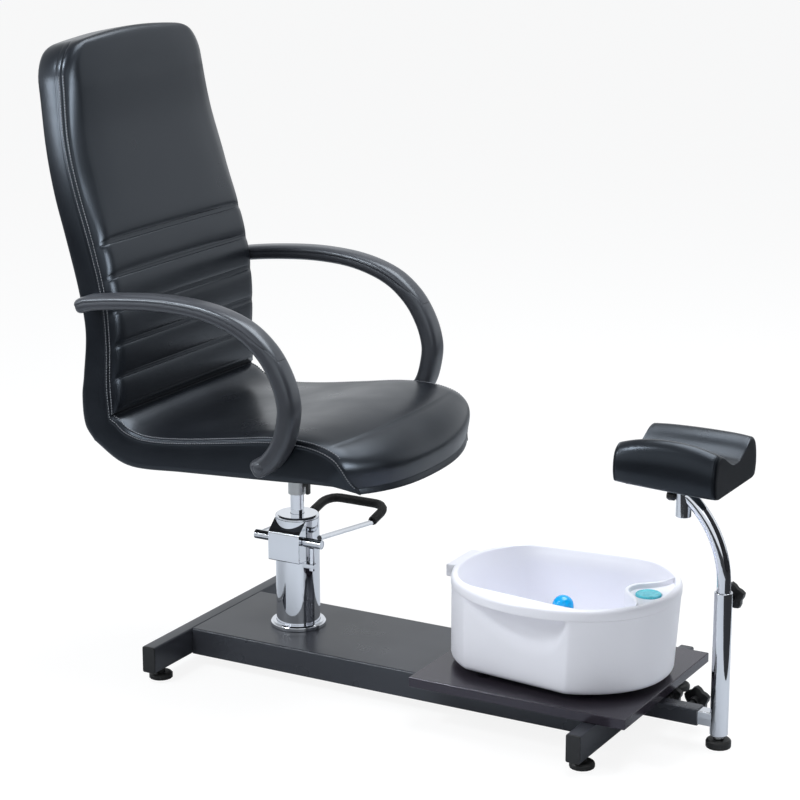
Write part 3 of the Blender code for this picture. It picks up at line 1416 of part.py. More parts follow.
def add_bodies():
    add_body("base")
    add_body("lift", (0, 0, SOCKET_BOTTOM), "base")
    add_body("seat", (0, 0, SOCKET_BOTTOM), "lift")
    lock_z = SOCKET_BOTTOM + LOCK_HEIGHT
    add_body("lock", (SOCKET_RADIUS + GAP, 0, lock_z), "seat")
    add_body("lever", (0, -PIVOT_SETOUT, PIVOT_Z), "base")
    guide_top = PIVOT_Z - HUB_RADIUS - GAP - PLUNGER_SHOWN
    add_body("plunger", (PLUNGER_OUT, -PIVOT_SETOUT, guide_top), "base")
    add_body("arm_slide", (POST_X, REST_Y, RECEIVER_Z), "base")
    add_body("post_foot_turn", (POST_X, REST_Y, 0), "arm_slide")
    add_body("post_knob_turn", (POST_X, REST_Y + POST_RADIUS + GAP, POST_KNOB_Z), "arm_slide")
    add_body("mast", (POST_X, REST_Y, POST_TOP), "arm_slide")
    knob_x = SLEEVE_X - SLEEVE_RADIUS - GAP
    add_body("sleeve_knob_turn", (knob_x, REST_Y, SLEEVE_KNOB_Z), "mast")
    add_body("pad", (SLEEVE_X, REST_Y, SLEEVE_TOP), "mast")
    knob_y = REST_Y + RECEIVER_SIDE / 2 + GAP
    add_body("front_knob", (KNOB_FRONT_X, knob_y, RECEIVER_Z), "base")
    add_body("rear_knob", (KNOB_REAR_X, knob_y, RECEIVER_Z), "base")
    add_body("bath", (BATH_X, 0, BOARD_TOP), "base")
    add_body("dial", (DIAL_X, 0, DECK_Z), "bath")
    for end, x in (("rear", REAR_BAR_X), ("front", FRONT_BAR_X)):
        for side, sign in (("right", -1), ("left", 1)):
            y = sign * (BAR_LENGTH / 2 - FOOT_INSET)
            add_body(f"{end}_{side}_foot_turn", (x, y, 0), "base")


def add_feet():
    neck = FLOOR_CLEARANCE - GAP
    for end, x in (("rear", REAR_BAR_X), ("front", FRONT_BAR_X)):
        for side, sign in (("right", -1), ("left", 1)):
            name = f"{end}_{side}_foot"
            place = (x, sign * (BAR_LENGTH / 2 - FOOT_INSET), 0)
            add_levelling_foot(name, f"{name}_turn", place, FOOT_DISC, neck, FOOT_STEM_LENGTH)


def centre_on_floor():
    """Moves the base so that the origin is the middle of the bounding box, on the floor."""
    bpy.context.view_layer.update()
    graph = bpy.context.evaluated_depsgraph_get()
    corners = []
    for obj in PARTS.objects:
        if obj.type == "MESH":
            shown = obj.evaluated_get(graph)
            corners += [shown.matrix_world @ v.co for v in shown.data.vertices]
    low = [min(c[i] for c in corners) for i in range(3)]
    high = [max(c[i] for c in corners) for i in range(3)]
    root = BODIES["base"][0]
    root.location = (-(low[0] + high[0]) / 2, -(low[1] + high[1]) / 2, -low[2])
    bpy.context.view_layer.update()
    for name, (empty, at) in BODIES.items():
        print("axis", name, [round(v, 5) for v in empty.matrix_world.translation])


add_bodies()
add_base()
add_feet()
add_pump()
add_lever()
add_seat()
add_arm("right", -1)
add_arm("left", 1)
add_foot_rest()
add_pad()
add_bath()
centre_on_floor()
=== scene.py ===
# %% [markdown]
# # Pedicure chair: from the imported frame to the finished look
# Every visible surface is dressed over them: metal gets small edge rounds, the upholstery is sewn and
# puffed up, and plastics are drawn again with finer curves. The solids themselves stay as they are.

# %% Load the frame
import json
from math import asin, cos, pi, radians, sin, sqrt
import bpy
import numpy as np
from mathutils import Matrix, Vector
from numpy.linalg import norm

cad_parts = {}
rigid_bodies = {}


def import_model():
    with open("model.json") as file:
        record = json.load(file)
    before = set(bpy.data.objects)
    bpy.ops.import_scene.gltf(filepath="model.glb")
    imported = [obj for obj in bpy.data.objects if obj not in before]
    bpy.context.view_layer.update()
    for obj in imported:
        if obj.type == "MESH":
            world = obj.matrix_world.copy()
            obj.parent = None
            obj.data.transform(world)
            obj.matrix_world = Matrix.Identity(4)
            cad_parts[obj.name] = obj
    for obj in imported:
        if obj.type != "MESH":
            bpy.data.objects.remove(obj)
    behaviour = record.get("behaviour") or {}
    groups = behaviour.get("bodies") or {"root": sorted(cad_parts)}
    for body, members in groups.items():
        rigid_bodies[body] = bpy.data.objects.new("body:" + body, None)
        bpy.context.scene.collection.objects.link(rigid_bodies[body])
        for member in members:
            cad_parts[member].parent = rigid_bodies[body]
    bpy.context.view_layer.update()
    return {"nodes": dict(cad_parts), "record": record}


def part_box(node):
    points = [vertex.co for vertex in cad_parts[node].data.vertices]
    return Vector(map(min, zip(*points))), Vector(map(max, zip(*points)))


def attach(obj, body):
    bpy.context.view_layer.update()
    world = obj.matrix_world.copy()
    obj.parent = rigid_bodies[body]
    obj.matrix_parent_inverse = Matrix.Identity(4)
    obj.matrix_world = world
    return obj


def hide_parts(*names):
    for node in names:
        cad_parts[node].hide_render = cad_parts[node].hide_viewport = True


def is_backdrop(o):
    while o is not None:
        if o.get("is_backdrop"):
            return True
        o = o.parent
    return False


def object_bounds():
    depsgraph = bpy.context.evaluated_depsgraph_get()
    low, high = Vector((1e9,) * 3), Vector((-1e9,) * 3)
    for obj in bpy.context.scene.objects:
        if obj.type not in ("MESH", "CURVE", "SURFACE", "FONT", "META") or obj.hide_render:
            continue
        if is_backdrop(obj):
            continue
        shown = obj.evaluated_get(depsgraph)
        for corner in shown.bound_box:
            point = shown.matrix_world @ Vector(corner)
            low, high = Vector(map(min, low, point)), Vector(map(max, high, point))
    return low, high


for old in list(bpy.data.objects):
    bpy.data.objects.remove(old, do_unlink=True)
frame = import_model()
nodes = frame["nodes"]
BODY_OF = {node: body for body, held in frame["record"]["behaviour"]["bodies"].items() for node in held}
SLOT_OF = {part["node"]: part["material_slot"] for part in frame["record"]["subparts"]}
JOINT_AT = {j["name"]: Vector(j.get("pos_m", (0, 0, 0))) for j in frame["record"]["behaviour"]["joints"]}
PUMP_X = JOINT_AT["seat_swivel"].x

# %% [markdown]
# ## The camera
# The place and lens come from fitting a pinhole camera to the corners of the base in the photograph,
# with the base's 50 mm tube as the scale. A long lens from the front right, a little above.

# %% Camera
CAMERA_AT = (2.06076, -3.7168, 1.653)
CAMERA_TILT, CAMERA_TURN = 75.23, 29.16  # degrees up from straight down, and round the upright
LENS, SENSOR = 110.87, 36  # mm
bpy.ops.object.camera_add(location=CAMERA_AT)
camera = bpy.context.object
camera.rotation_euler = (radians(CAMERA_TILT), 0, radians(CAMERA_TURN))
camera.data.sensor_width, camera.data.lens = SENSOR, LENS
bpy.context.scene.camera = camera
bpy.context.scene.view_settings.view_transform = "Standard"
print("camera", [round(v, 3) for v in camera.location], LENS, "mm")

# %% [markdown]
# ## The studio
# A white surround, as in a product picture: what the camera and the polished metal see is plain white,
# while the light that the surround gives to dull surfaces is weaker, so that forms keep their shading.
# Mirrors see it dim towards the ceiling, as in a room. The floor is white in the same way and keeps a
# faint shadow.

# %% Surround and floor
AMBIENT, AMBIENT_COLOUR = 0.36, (0.92, 0.96, 1.0, 1)  # what dull surfaces get from the surround
COOL_WHITE, PLAIN_WHITE = (0.94, 0.97, 1.0, 1), (1, 1, 1, 1)  # what mirrors see, and the camera
DIM_FROM, DIM_TO, CEILING = 0.28, 0.6, 0.45  # upward part of a ray where it dims, and how far
FLOOR_SIZE, FLOOR_DROP = 30, 0.0004  # m
FLOOR_GLOW, FLOOR_SHADE = 0.88, (0.16, 0.16, 0.16, 1)  # to the camera
FLOOR_BOUNCE, FLOOR_MIRRORED = (0.75, 0.75, 0.75, 1), (0.64, 0.66, 0.69, 1)  # to the rest, and to mirrors


def feed(node, **values):
    """Set values on a node's sockets, or link outputs to them; names are written with underscores."""
    for name, value in values.items():
        socket = node.inputs[name.replace("_", " ")]
        if isinstance(value, bpy.types.NodeSocket):
            node.id_data.links.new(value, socket)
        else:
            socket.default_value = value


def add(tree, kind, **values):
    made = tree.nodes.new(f"ShaderNode{kind}")
    feed(made, **values)
    return made


def blend(tree, factor, a, b):
    """From one colour to the other with a factor."""
    made = add(tree, "Mix")
    made.data_type = "RGBA"
    feed(made, A=a, B=b, Factor=factor)
    return made.outputs["Result"]


def highest(tree, *values):
    result = values[0]
    for value in values[1:]:
        made = add(tree, "Math")
        made.operation = "MAXIMUM"
        tree.links.new(result, made.inputs[0])
        tree.links.new(value, made.inputs[1])
        result = made.outputs[0]
    return result


def choice(tree, factor, plain, other):
    """One shader where the factor is 0 and the other where it is 1."""
    made = add(tree, "MixShader", Fac=factor)
    tree.links.new(plain.outputs[0], made.inputs[1])
    tree.links.new(other.outputs[0], made.inputs[2])
    return made


world = bpy.data.worlds.new("studio")
bpy.context.scene.world = world
world.use_nodes = True
tree = world.node_tree
tree.nodes.clear()
ray = add(tree, "LightPath").outputs
apart = add(tree, "SeparateXYZ", Vector=add(tree, "TexCoord").outputs["Generated"])
fall = add(tree, "MapRange", Value=apart.outputs["Z"], From_Min=DIM_FROM, From_Max=DIM_TO, To_Min=1.0,
           To_Max=CEILING)
fall.interpolation_type = "SMOOTHSTEP"
white = add(tree, "Background", Strength=highest(tree, fall.outputs["Result"], ray["Is Camera Ray"]),
            Color=blend(tree, ray["Is Camera Ray"], COOL_WHITE, PLAIN_WHITE))
soft = add(tree, "Background", Color=AMBIENT_COLOUR, Strength=AMBIENT)
direct = highest(tree, ray["Is Camera Ray"], ray["Is Glossy Ray"], ray["Is Transmission Ray"])
add(tree, "OutputWorld", Surface=choice(tree, direct, soft, white).outputs[0])

bpy.ops.mesh.primitive_plane_add(size=FLOOR_SIZE, location=(0, 0, -FLOOR_DROP))
floor = bpy.context.object
floor.name = "floor"
paint = bpy.data.materials.new("floor_white")
paint.use_nodes = True
tree = paint.node_tree
tree.nodes.clear()
ray = add(tree, "LightPath").outputs
glow = add(tree, "AddShader")
tree.links.new(add(tree, "Emission", Strength=FLOOR_GLOW).outputs[0], glow.inputs[0])
tree.links.new(add(tree, "BsdfDiffuse", Color=FLOOR_SHADE).outputs[0], glow.inputs[1])
bounce = add(tree, "BsdfDiffuse", Color=FLOOR_BOUNCE)
mirrored = choice(tree, ray["Is Glossy Ray"], bounce, add(tree, "BsdfDiffuse", Color=FLOOR_MIRRORED))
add(tree, "OutputMaterial", Surface=choice(tree, ray["Is Camera Ray"], mirrored, glow).outputs[0])
floor.data.materials.append(paint)
floor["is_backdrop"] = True
print("surround of strength", AMBIENT, "over a floor of", FLOOR_SIZE, "m")

# %% [markdown]
# Soft boxes give the long highlights, and dark cards outside the picture give the polished metal and the
# leather something dark to reflect, as black flags do in a studio. The camera doesn't see the cards.

# %% Lights and cards
LAMP_COLOUR = (0.94, 0.97, 1.0)
CARD_BLACK, CARD_ROUGHNESS, CARD_UP = (0.012, 0.012, 0.014, 1), 0.9, 0.003


def soft_box(name, at, toward, width, height, watts, shine_only=False):
    data = bpy.data.lights.new(name, "AREA")
    data.shape = "RECTANGLE"
    data.size, data.size_y, data.energy = width, height, watts
    data.color = LAMP_COLOUR
    lamp = bpy.data.objects.new(name, data)
    lamp.location = at
    lamp.visible_camera = False
    lamp.visible_diffuse = not shine_only
    lamp.rotation_euler = (Vector(toward) - Vector(at)).to_track_quat("-Z", "Y").to_euler()
    bpy.context.scene.collection.objects.link(lamp)
    return lamp


soft_box("box_over", (0.5, 0.9, 3.2), (0.2, 0, 0.2), 2.2, 2.2, 94)
soft_box("box_key", (-1.05, -1.3, 2.11), (0.3, -0.1, 0.2), 0.42, 0.42, 21)
soft_box("box_front", (2.4, -2.6, 2.4), (0.1, 0, 0.4), 1.6, 1.6, 7)
soft_box("box_left", (-1.09, -1.03, 1.13), (-0.65, -0.23, 1.12), 0.5, 0.15, 5)
strip_right = soft_box("strip_right", (2.5, -0.35, 1.15), (-0.55, -0.2, 1.0), 0.9, 1.2, 60, shine_only=True)

dull = bpy.data.materials.new("card_black")
dull.use_nodes = True
feed(dull.node_tree.nodes["Principled BSDF"], Base_Color=CARD_BLACK, Roughness=CARD_ROUGHNESS)


def card(name, low, high):
    """A flat dark card between two corners, lying on the floor or upright along Y."""
    mid = (Vector(low) + Vector(high)) / 2
    size = Vector(high) - Vector(low)
    turn = (0, 0, 0) if size.z == 0 else (0, radians(90), 0)
    bpy.ops.mesh.primitive_plane_add(size=1, location=mid, rotation=turn)
    made = bpy.context.object
    made.name = name
    made.scale = (size.x or size.z, size.y, 1)
    made.data.materials.append(dull)
    made.visible_camera = made.visible_diffuse = made.visible_shadow = False
    made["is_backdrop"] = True


card("card_front", (-5, -6, CARD_UP), (5, -1.25, CARD_UP))
card("card_right", (0.95, -1.25, CARD_UP), (5, 2.6, CARD_UP))
card("card_upright", (2.6, -1.6, 0), (2.6, 2.0, 2.2))
print(len(bpy.data.lights), "lamps")

# %% [markdown]
# ## Finishes
# Each finish is drawn by the shader from the piece's own coordinates: a colour that drifts a little, a
# shine that varies, and a fine relief. Nothing on a real chair is one flat colour.

# %% Finishes


def finish(name, colour, other, rough, grain, depth, metal=0.0, cells=False, patch=9.0, tint=None):
    """A material: two colours, a range of roughness, and relief with a scale and a depth in metres."""
    made = bpy.data.materials.new(name)
    made.use_nodes = True
    tree = made.node_tree
    place = add(tree, "TexCoord").outputs["Object"]
    drift = add(tree, "TexNoise", Vector=place, Scale=patch, Detail=3).outputs["Fac"]
    shine = add(tree, "MapRange", Value=drift, From_Min=0.3, From_Max=0.7, To_Min=rough[0], To_Max=rough[1])
    fine = add(tree, "TexVoronoi" if cells else "TexNoise", Vector=place, Scale=grain)
    height = fine.outputs["Distance" if cells else "Fac"]
    relief = add(tree, "Bump", Strength=1.0, Distance=depth, Height=height)
    shader = tree.nodes["Principled BSDF"]
    feed(shader, Metallic=metal, Roughness=shine.outputs["Result"], Normal=relief.outputs["Normal"],
         Base_Color=blend(tree, drift, (*colour, 1), (*other, 1)))
    if tint:
        feed(shader, Specular_Tint=(*tint, 1))
    return made


LEATHER = finish("leather", (0.0035, 0.0042, 0.006), (0.0055, 0.0065, 0.009), (0.27, 0.36), 620, 3e-5,
                 cells=True, tint=(0.75, 0.86, 1.0))
THREAD = finish("thread", (0.15, 0.16, 0.18), (0.22, 0.23, 0.25), (0.45, 0.6), 2500, 5e-5)
CHROME = finish("chrome", (0.69, 0.71, 0.75), (0.73, 0.75, 0.79), (0.03, 0.06), 60, 1e-5, metal=1.0)
ZINC = finish("satin_metal", (0.5, 0.51, 0.51), (0.57, 0.58, 0.58), (0.3, 0.4), 900, 2e-5, metal=1.0)
STEEL = finish("powder_coat", (0.033, 0.035, 0.042), (0.04, 0.042, 0.05), (0.26, 0.33), 800, 3e-5,
               tint=(0.88, 0.93, 1))
LAMINATE = finish("laminate", (0.023, 0.019, 0.027), (0.031, 0.026, 0.034), (0.13, 0.2), 300, 1e-5,
                  tint=(0.88, 0.88, 1))
MOULDED = finish("black_moulding", (0.0045, 0.0048, 0.0055), (0.0075, 0.0078, 0.0085), (0.3, 0.4), 1200, 3e-5)
ARM_LOOK = (0.04, 0.042, 0.049), (0.048, 0.05, 0.058), (0.28, 0.34)  # shared with the soft pads on top
ARM_TINT, ARM_SHINE = (0.84, 0.92, 1), 0.68
ARM = finish("arm_moulding", *ARM_LOOK, 1500, 3e-5, tint=ARM_TINT)
SOFT = finish("soft_skin", *ARM_LOOK, 1100, 4e-5, tint=ARM_TINT)
for made in (ARM, SOFT):
    feed(made.node_tree.nodes["Principled BSDF"], Specular_IOR_Level=ARM_SHINE)
FOAM = finish("foam_grip", (0.006, 0.006, 0.006), (0.011, 0.011, 0.011), (0.6, 0.8), 1600, 0.00025, cells=True)
RUBBER = finish("rubber", (0.0055, 0.0055, 0.0055), (0.009, 0.009, 0.009), (0.45, 0.6), 900, 6e-5)
WOOD = finish("underside_cloth", (0.008, 0.008, 0.009), (0.013, 0.013, 0.014), (0.7, 0.9), 1400, 0.0002)
WHITE = finish("white_moulding", (0.9, 0.9, 0.965), (0.915, 0.915, 0.97), (0.3, 0.4), 40, 4e-5)
TEAL = finish("teal_moulding", (0.015, 0.33, 0.44), (0.16, 0.78, 0.88), (0.1, 0.2), 160, 0.0006, patch=150)
BLUE = finish("blue_moulding", (0.0, 0.33, 0.78), (0.005, 0.44, 0.88), (0.06, 0.12), 300, 3e-5)
FINISH_OF = {
    "black_steel": STEEL, "laminate": LAMINATE, "black_plastic": MOULDED, "arm_plastic": ARM, "soft_pad": SOFT,
    "chrome": CHROME, "rubber": RUBBER, "plywood": WOOD, "leather": LEATHER, "white_plastic": WHITE,
    "teal_plastic": TEAL, "blue_plastic": BLUE,
}
for node, piece in nodes.items():
    piece.data.materials.clear()
    piece.data.materials.append(FINISH_OF[SLOT_OF[node]])
print(len(bpy.data.materials), "materials")

# %% [markdown]
# ## Metal and moulded pieces
# The solids have the right sizes but knife-sharp edges. A copy of each is welded, its flat faces are
# joined up, its edges get a small round, and it is shaded smooth across its curves.

# %% Rounded copies
WELD, FLAT = 2e-5, radians(0.6)  # of points that are one, and of joined faces
ROUND, ROUND_STEPS, SHARP = 0.0008, 2, radians(32)  # an edge's round, and the least angle of an edge


def mode(name):
    bpy.ops.object.mode_set(mode=name)


def shade(sharp):
    bpy.ops.object.shade_smooth_by_angle(angle=sharp)


def alone(piece):
    bpy.ops.object.select_all(action="DESELECT")
    piece.select_set(True)
    bpy.context.view_layer.objects.active = piece


def settle(piece, node, material, replaces=True):
    """Give a finished piece its finish and its body, and hide the solid that it stands in for."""
    piece.data.materials.clear()
    piece.data.materials.append(material)
    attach(piece, BODY_OF[node])
    if replaces:
        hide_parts(node)


def link(name, mesh):
    """A new piece in the scene, selected by itself."""
    piece = bpy.data.objects.new(name, mesh)
    bpy.context.scene.collection.objects.link(piece)
    alone(piece)
    return piece


def keep_flats(piece):
    """Shade flat faces flat, beside the rounds at their edges."""
    flat = piece.modifiers.new("flat_faces", "WEIGHTED_NORMAL")
    flat.keep_sharp = True
    bpy.ops.object.modifier_apply(modifier="flat_faces")


def rounded_copy(node, material):
    piece = link(f"{node}_finished", nodes[node].data.copy())
    bpy.ops.mesh.customdata_custom_splitnormals_clear()
    mode("EDIT")
    bpy.ops.mesh.select_all(action="SELECT")
    bpy.ops.mesh.remove_doubles(threshold=WELD)
    bpy.ops.mesh.dissolve_limited(angle_limit=FLAT)
    mode("OBJECT")
    edge = piece.modifiers.new("edge", "BEVEL")
    edge.width, edge.segments = ROUND, ROUND_STEPS
    edge.limit_method, edge.angle_limit = "ANGLE", SHARP
    bpy.ops.object.modifier_apply(modifier="edge")
    shade(SHARP)
    keep_flats(piece)
    settle(piece, node, material)
    return piece


DRAWN_AGAIN = {
    "seat_cushion", "back_cushion", "foot_pad", "left_arm", "right_arm", "left_arm_pad", "right_arm_pad",
    "bath_housing", "bath_basin", "bath_dial", "massage_node"}
INSIDE = {"bath_motor", "pad_board", "seat_shell"}
SPECIAL = {"swivel_socket": ZINC, "piston_rod": CHROME, "post_bush": ZINC, "lever_grip": FOAM}
rounded = [node for node in nodes if node not in DRAWN_AGAIN and node not in INSIDE]
for node in rounded:
    made = rounded_copy(node, SPECIAL.get(node, FINISH_OF[SLOT_OF[node]]))
print(len(rounded), "rounded copies")

# %% [markdown]
# ## Side lines of the upholstery
# Seat and back are each one long panel, a border strip sewn round it, and a lining behind. Their side
# views are smooth lines through a few points, measured from the crease where the two meet.

# %% Side lines
CREASE = (PUMP_X - 0.25, 0.49)
RISE, DEPTH = 0.665, 0.512  # height of the back and depth of the seat
CREASE_GAP = 0.0002  # between the two cushions
UNDER, UNDER_X, UNDER_SLOPE = -0.085, 0.057, 0.0587  # the seat's underside: height, where, slope


def lengths_of(points):
    """The length of a line of points up to each of them."""
    return np.concatenate([[0], np.cumsum(norm(np.diff(points, axis=0), axis=1))])


def smooth_line(controls, steps=40):
    """A smooth line through control points: its points and the length up to each."""
    p = np.array(controls, float) + np.array(CREASE)
    knots = lengths_of(p)
    slope = np.empty_like(p)
    slope[0] = (p[1] - p[0]) / (knots[1] - knots[0])
    slope[-1] = (p[-1] - p[-2]) / (knots[-1] - knots[-2])
    slope[1:-1] = (p[2:] - p[:-2]) / (knots[2:] - knots[:-2])[:, None]
    t = np.linspace(0, 1, steps, endpoint=False)[:, None]
    rows = []
    for i in range(len(p) - 1):
        span = knots[i + 1] - knots[i]
        bend = slope[i] * span * (t**3 - 2 * t**2 + t) + slope[i + 1] * span * (t**3 - t**2)
        rows.append(p[i] * (2 * t**3 - 3 * t**2 + 1) + p[i + 1] * (3 * t**2 - 2 * t**3) + bend)
    points = np.concatenate(rows + [p[-1:]])
    return points, lengths_of(points)


def walk(points, lengths, d):
    """The places at distances d along a line."""
    return np.stack([np.interp(d, lengths, column) for column in points.T], axis=-1)


def at_share(line, share):
    points, lengths = line
    return walk(points, lengths, np.clip(share, 0, 1) * lengths[-1])


def flat_line(controls):
    """A smooth line through points that aren't measured from the crease."""
    return smooth_line([(a - CREASE[0], b - CREASE[1]) for a, b in controls], 12)


def smoothstep(value):
    value = np.clip(value, 0, 1)
    return value * value * (3 - 2 * value)


BACK_FRONT = smooth_line([(x, part * RISE) for x, part in (
    (-0.109, 1), (-0.099, 0.894), (-0.085, 0.745), (-0.059, 0.602), (-0.03, 0.459), (-0.008, 0.323),
    (-0.002, 0.201), (-0.004, 0.095), (0, 0))])
BACK_REAR = smooth_line([(x, part * RISE) for x, part in (
    (-0.16, 0.985), (-0.147, 0.879), (-0.129, 0.73), (-0.107, 0.595), (-0.084, 0.474), (-0.06, 0.336),
    (-0.049, 0.23), (-0.056, 0.11), (-0.061, 0.05))] + [(-0.056, -0.019), (-0.037, -0.046)])


def under_seat(x):
    return UNDER + UNDER_SLOPE * (x - UNDER_X)


SEAT_FRONT = smooth_line([(part * DEPTH, z) for part, z in (
    (0, 0), (0.057, -0.024), (0.139, -0.034), (0.277, -0.03), (0.488, -0.015), (0.662, -0.002), (0.789, 0),
    (0.882, -0.009), (0.942, -0.03), (0.972, -0.067))])
SEAT_REAR = smooth_line([(-0.037, -0.046), (0.015, -0.077)] + [
    (part * DEPTH, under_seat(part * DEPTH)) for part in (0.111, 0.29, 0.68, 0.895)] + [
    (0.938 * DEPTH, -0.067), (0.978 * DEPTH, -0.077)])
BACK_LENGTH, SEAT_LENGTH = BACK_FRONT[1][-1], SEAT_FRONT[1][-1]
print("back line", round(BACK_LENGTH, 3), "m, seat line", round(SEAT_LENGTH, 3), "m")

# %% [markdown]
# ## Sewing the panels
# A cushion is drawn as rings: the front panel runs across the width, turns the corner at the seam, crosses
# the border strip and comes back along the lining. Rows lie close together at seams and channels, where
# the form turns fast.

# %% Cushion rings
HALF, TOP_HALF = 0.2345, 0.213  # half widths of the seat and of the back's top
CORNER, EDGE = 0.065, 0.016  # rounds at the back's upper corners and along its upper edge
RECESS, RECESS_SHARE = 0.0123, 0.91  # how deep and wide the lining is let in
ROLL_SHARE = 0.13  # of the half width, over which the panel rolls down to its seam
PLAIN_CROWN = 0.08  # part of the crown that spans the panel
BOW = 2.6  # power of the curve of the seat's front
SEAM_TUCK, LINING_TUCK = 0.0012, 0.003
roll_turn = np.radians([0, 8, 16, 24, 32, 40, 48, 56, 64, 71, 77, 82, 86, 90])
roll_edge = 1 - ROLL_SHARE * (1 - np.sin(roll_turn))
ACROSS = np.concatenate([-roll_edge[::-1], np.linspace(-0.85, 0.85, 35), roll_edge])
BORDER = np.array([0.0012, 0.0024, 0.004, 0.0062, 0.0085, 0.0095, 0.0105, 0.0125])
BORDER_REST = np.array([0.12, 0.28, 0.46, 0.64, 0.8, 0.9, 0.96])
BORDER_OUT = np.array([
    0.0001, 0.0003, 0.0004, 0.0004, 0.0003, 0.0001, -0.0003, -0.0001, 0.0, 0, 0, 0, 0, 0, -0.0012])


def border_steps(thick):
    """Distances behind the seam at which the border strip is cut, for one thickness."""
    return np.concatenate([BORDER, BORDER[-1] + (thick - BORDER[-1]) * BORDER_REST])


def panel_swell(u):
    over = np.clip((np.abs(u) - 1 + ROLL_SHARE) / ROLL_SHARE, 0, 1)
    return (1 - PLAIN_CROWN) * np.sqrt(1 - over**2) + PLAIN_CROWN * (1 - u * u)


def new_piece(name, points, faces, face_out=True):
    """A piece from points and faces, selected by itself, with its faces turned outwards."""
    mesh = bpy.data.meshes.new(name)
    mesh.from_pydata(points, [], faces)
    piece = link(name, mesh)
    if face_out:
        mode("EDIT")
        bpy.ops.mesh.select_all(action="SELECT")
        bpy.ops.mesh.normals_make_consistent(inside=False)
        mode("OBJECT")
    return piece


def cushion_mesh(name, st):
    """Mesh of a cushion from its stations; returns the piece and the numbers of its front panel's points."""
    fronts, rears = st["front"], st["rear"]
    rows, cols = len(fronts), len(ACROSS)
    out = fronts - rears
    thick = norm(out, axis=1)
    out /= thick[:, None]
    steps = len(BORDER_OUT)
    verts = []
    for i in range(rows):
        f, r, o, half = fronts[i], rears[i], out[i], st["half"][i]
        swell = st["crown"][i] * panel_swell(ACROSS) + st["groove"][i] * (1 - ACROSS**8)
        seam = st["seam"][i]
        swell = seam + swell * (1 - seam / max(st["crown"][i], 1e-6))
        forward = st["bulge"][i] * (1 - np.abs(ACROSS) ** BOW)
        lift = st["rise"][i] * (1 - ACROSS**2)
        y = ACROSS * half
        y[0] += SEAM_TUCK
        y[-1] -= SEAM_TUCK
        front = np.stack([f[0] + o[0] * swell + forward, y, f[1] + o[1] * swell + lift], axis=1)
        inset = np.where((np.abs(ACROSS) < RECESS_SHARE) & bool(st["backed"][i]), RECESS, 0.0)
        back_y = ACROSS * (half - LINING_TUCK)
        rear = np.stack([r[0] + o[0] * inset + forward, back_y, r[1] + o[1] * inset + lift], axis=1)
        g = border_steps(thick[i] + seam)
        share = g / (thick[i] + seam)
        side = half + BORDER_OUT + st["puff"][i] * np.sin(np.pi * share)
        line = f[None, :] + o[None, :] * (seam - g[:, None])
        far = np.stack([line[:, 0], side, line[:, 1]], axis=1)
        near = np.stack([line[:, 0], -side, line[:, 1]], axis=1)
        verts.append(np.concatenate([front, far, rear[::-1], near[::-1]]))
    ring = 2 * cols + 2 * steps
    faces = []
    for i in range(rows - 1):
        for j in range(ring):
            a, b = i * ring + j, i * ring + (j + 1) % ring
            faces.append((a, b, b + ring, a + ring))
    points = [np.array(verts).reshape(-1, 3)]
    count = rows * ring
    for i, up in ((0, 1), (rows - 1, -1)):
        base = i * ring
        grid = [[base + j for j in range(cols)]]
        a, b = verts[i][:cols], verts[i][cols + steps:2 * cols + steps][::-1]
        tangent = fronts[0] - fronts[1] if i == 0 else fronts[-1] - fronts[-2]
        tangent /= norm(tangent)
        whole = norm(b[0] - a[0])
        g = border_steps(whole)
        for k in range(steps):
            t = g[k] / whole
            row = a + (b - a) * t
            puff = BORDER_OUT[k] + st["cap"][0 if i == 0 else 1] * sin(pi * t)
            row[:, 0] += tangent[0] * puff
            row[:, 2] += tangent[1] * puff
            inner = list(range(count, count + cols - 2))
            points.append(row[1:-1])
            count += cols - 2
            near = base + 2 * cols + 2 * steps - 1 - k
            grid.append([near] + inner + [base + cols + k])
        grid.append([base + cols + steps + (cols - 1 - j) for j in range(cols)])
        for p, q in zip(grid, grid[1:]):
            for j in range(cols - 1):
                face = (p[j], q[j], q[j + 1], p[j + 1])
                faces.append(face if up > 0 else face[::-1])
    piece = new_piece(name, np.concatenate(points).tolist(), faces)
    panel = np.array([[i * ring + j for j in range(cols)] for i in range(rows)])
    return piece, panel


# %% [markdown]
# The back has a plain upper part and five rolls across the small of the back. Each roll ends in a seam
# that is sewn with two rows, so a narrow strip lies flat between two fine grooves.

# %% Back stations
PITCH, ROLLS, ROLL_POWER = 0.0605, 5, 3.2
SEAM_REACH = 0.013  # to either side of a seam, within which rows lie close
GROOVE, GROOVE_AT, GROOVE_HALF = 0.0013, 0.0042, 0.0009  # depth, distance from the seam, half width
BACK_CROWN, LUMBAR_CROWN, SEAM_CROWN = 0.0255, 0.0045, 0.87  # the last is the share left at a seam
BACK_SEAM, BACK_PUFF, TOP_RISE = 0.005, 0.0035, 0.01
LINED_FROM = 0.0895  # below the top, where the lining starts
heights = CREASE[1] + PITCH * np.arange(ROLLS, -1, -1)
SEAMS = np.array([np.interp(-h, -BACK_FRONT[0][:, 1], BACK_FRONT[1]) for h in heights])
beside = np.array([0.002, 0.0034, 0.0042, 0.005, 0.0065, 0.009, SEAM_REACH])
near_seam = np.concatenate([-beside[::-1], [0], beside])
spots = [0, 0.0008, 0.002, 0.004, 0.0065, 0.01, 0.014, 0.019, 0.025, 0.032, 0.04, 0.049, 0.058, 0.067, 0.077,
         0.0885, 0.0905]
spots += list(np.linspace(0.0905, SEAMS[0] - SEAM_REACH, 22)[1:-1])
for k, seam in enumerate(SEAMS[:-1]):
    spots += list(seam + near_seam)
    spots += list(np.linspace(seam + SEAM_REACH, SEAMS[k + 1] - SEAM_REACH, 8)[1:-1])
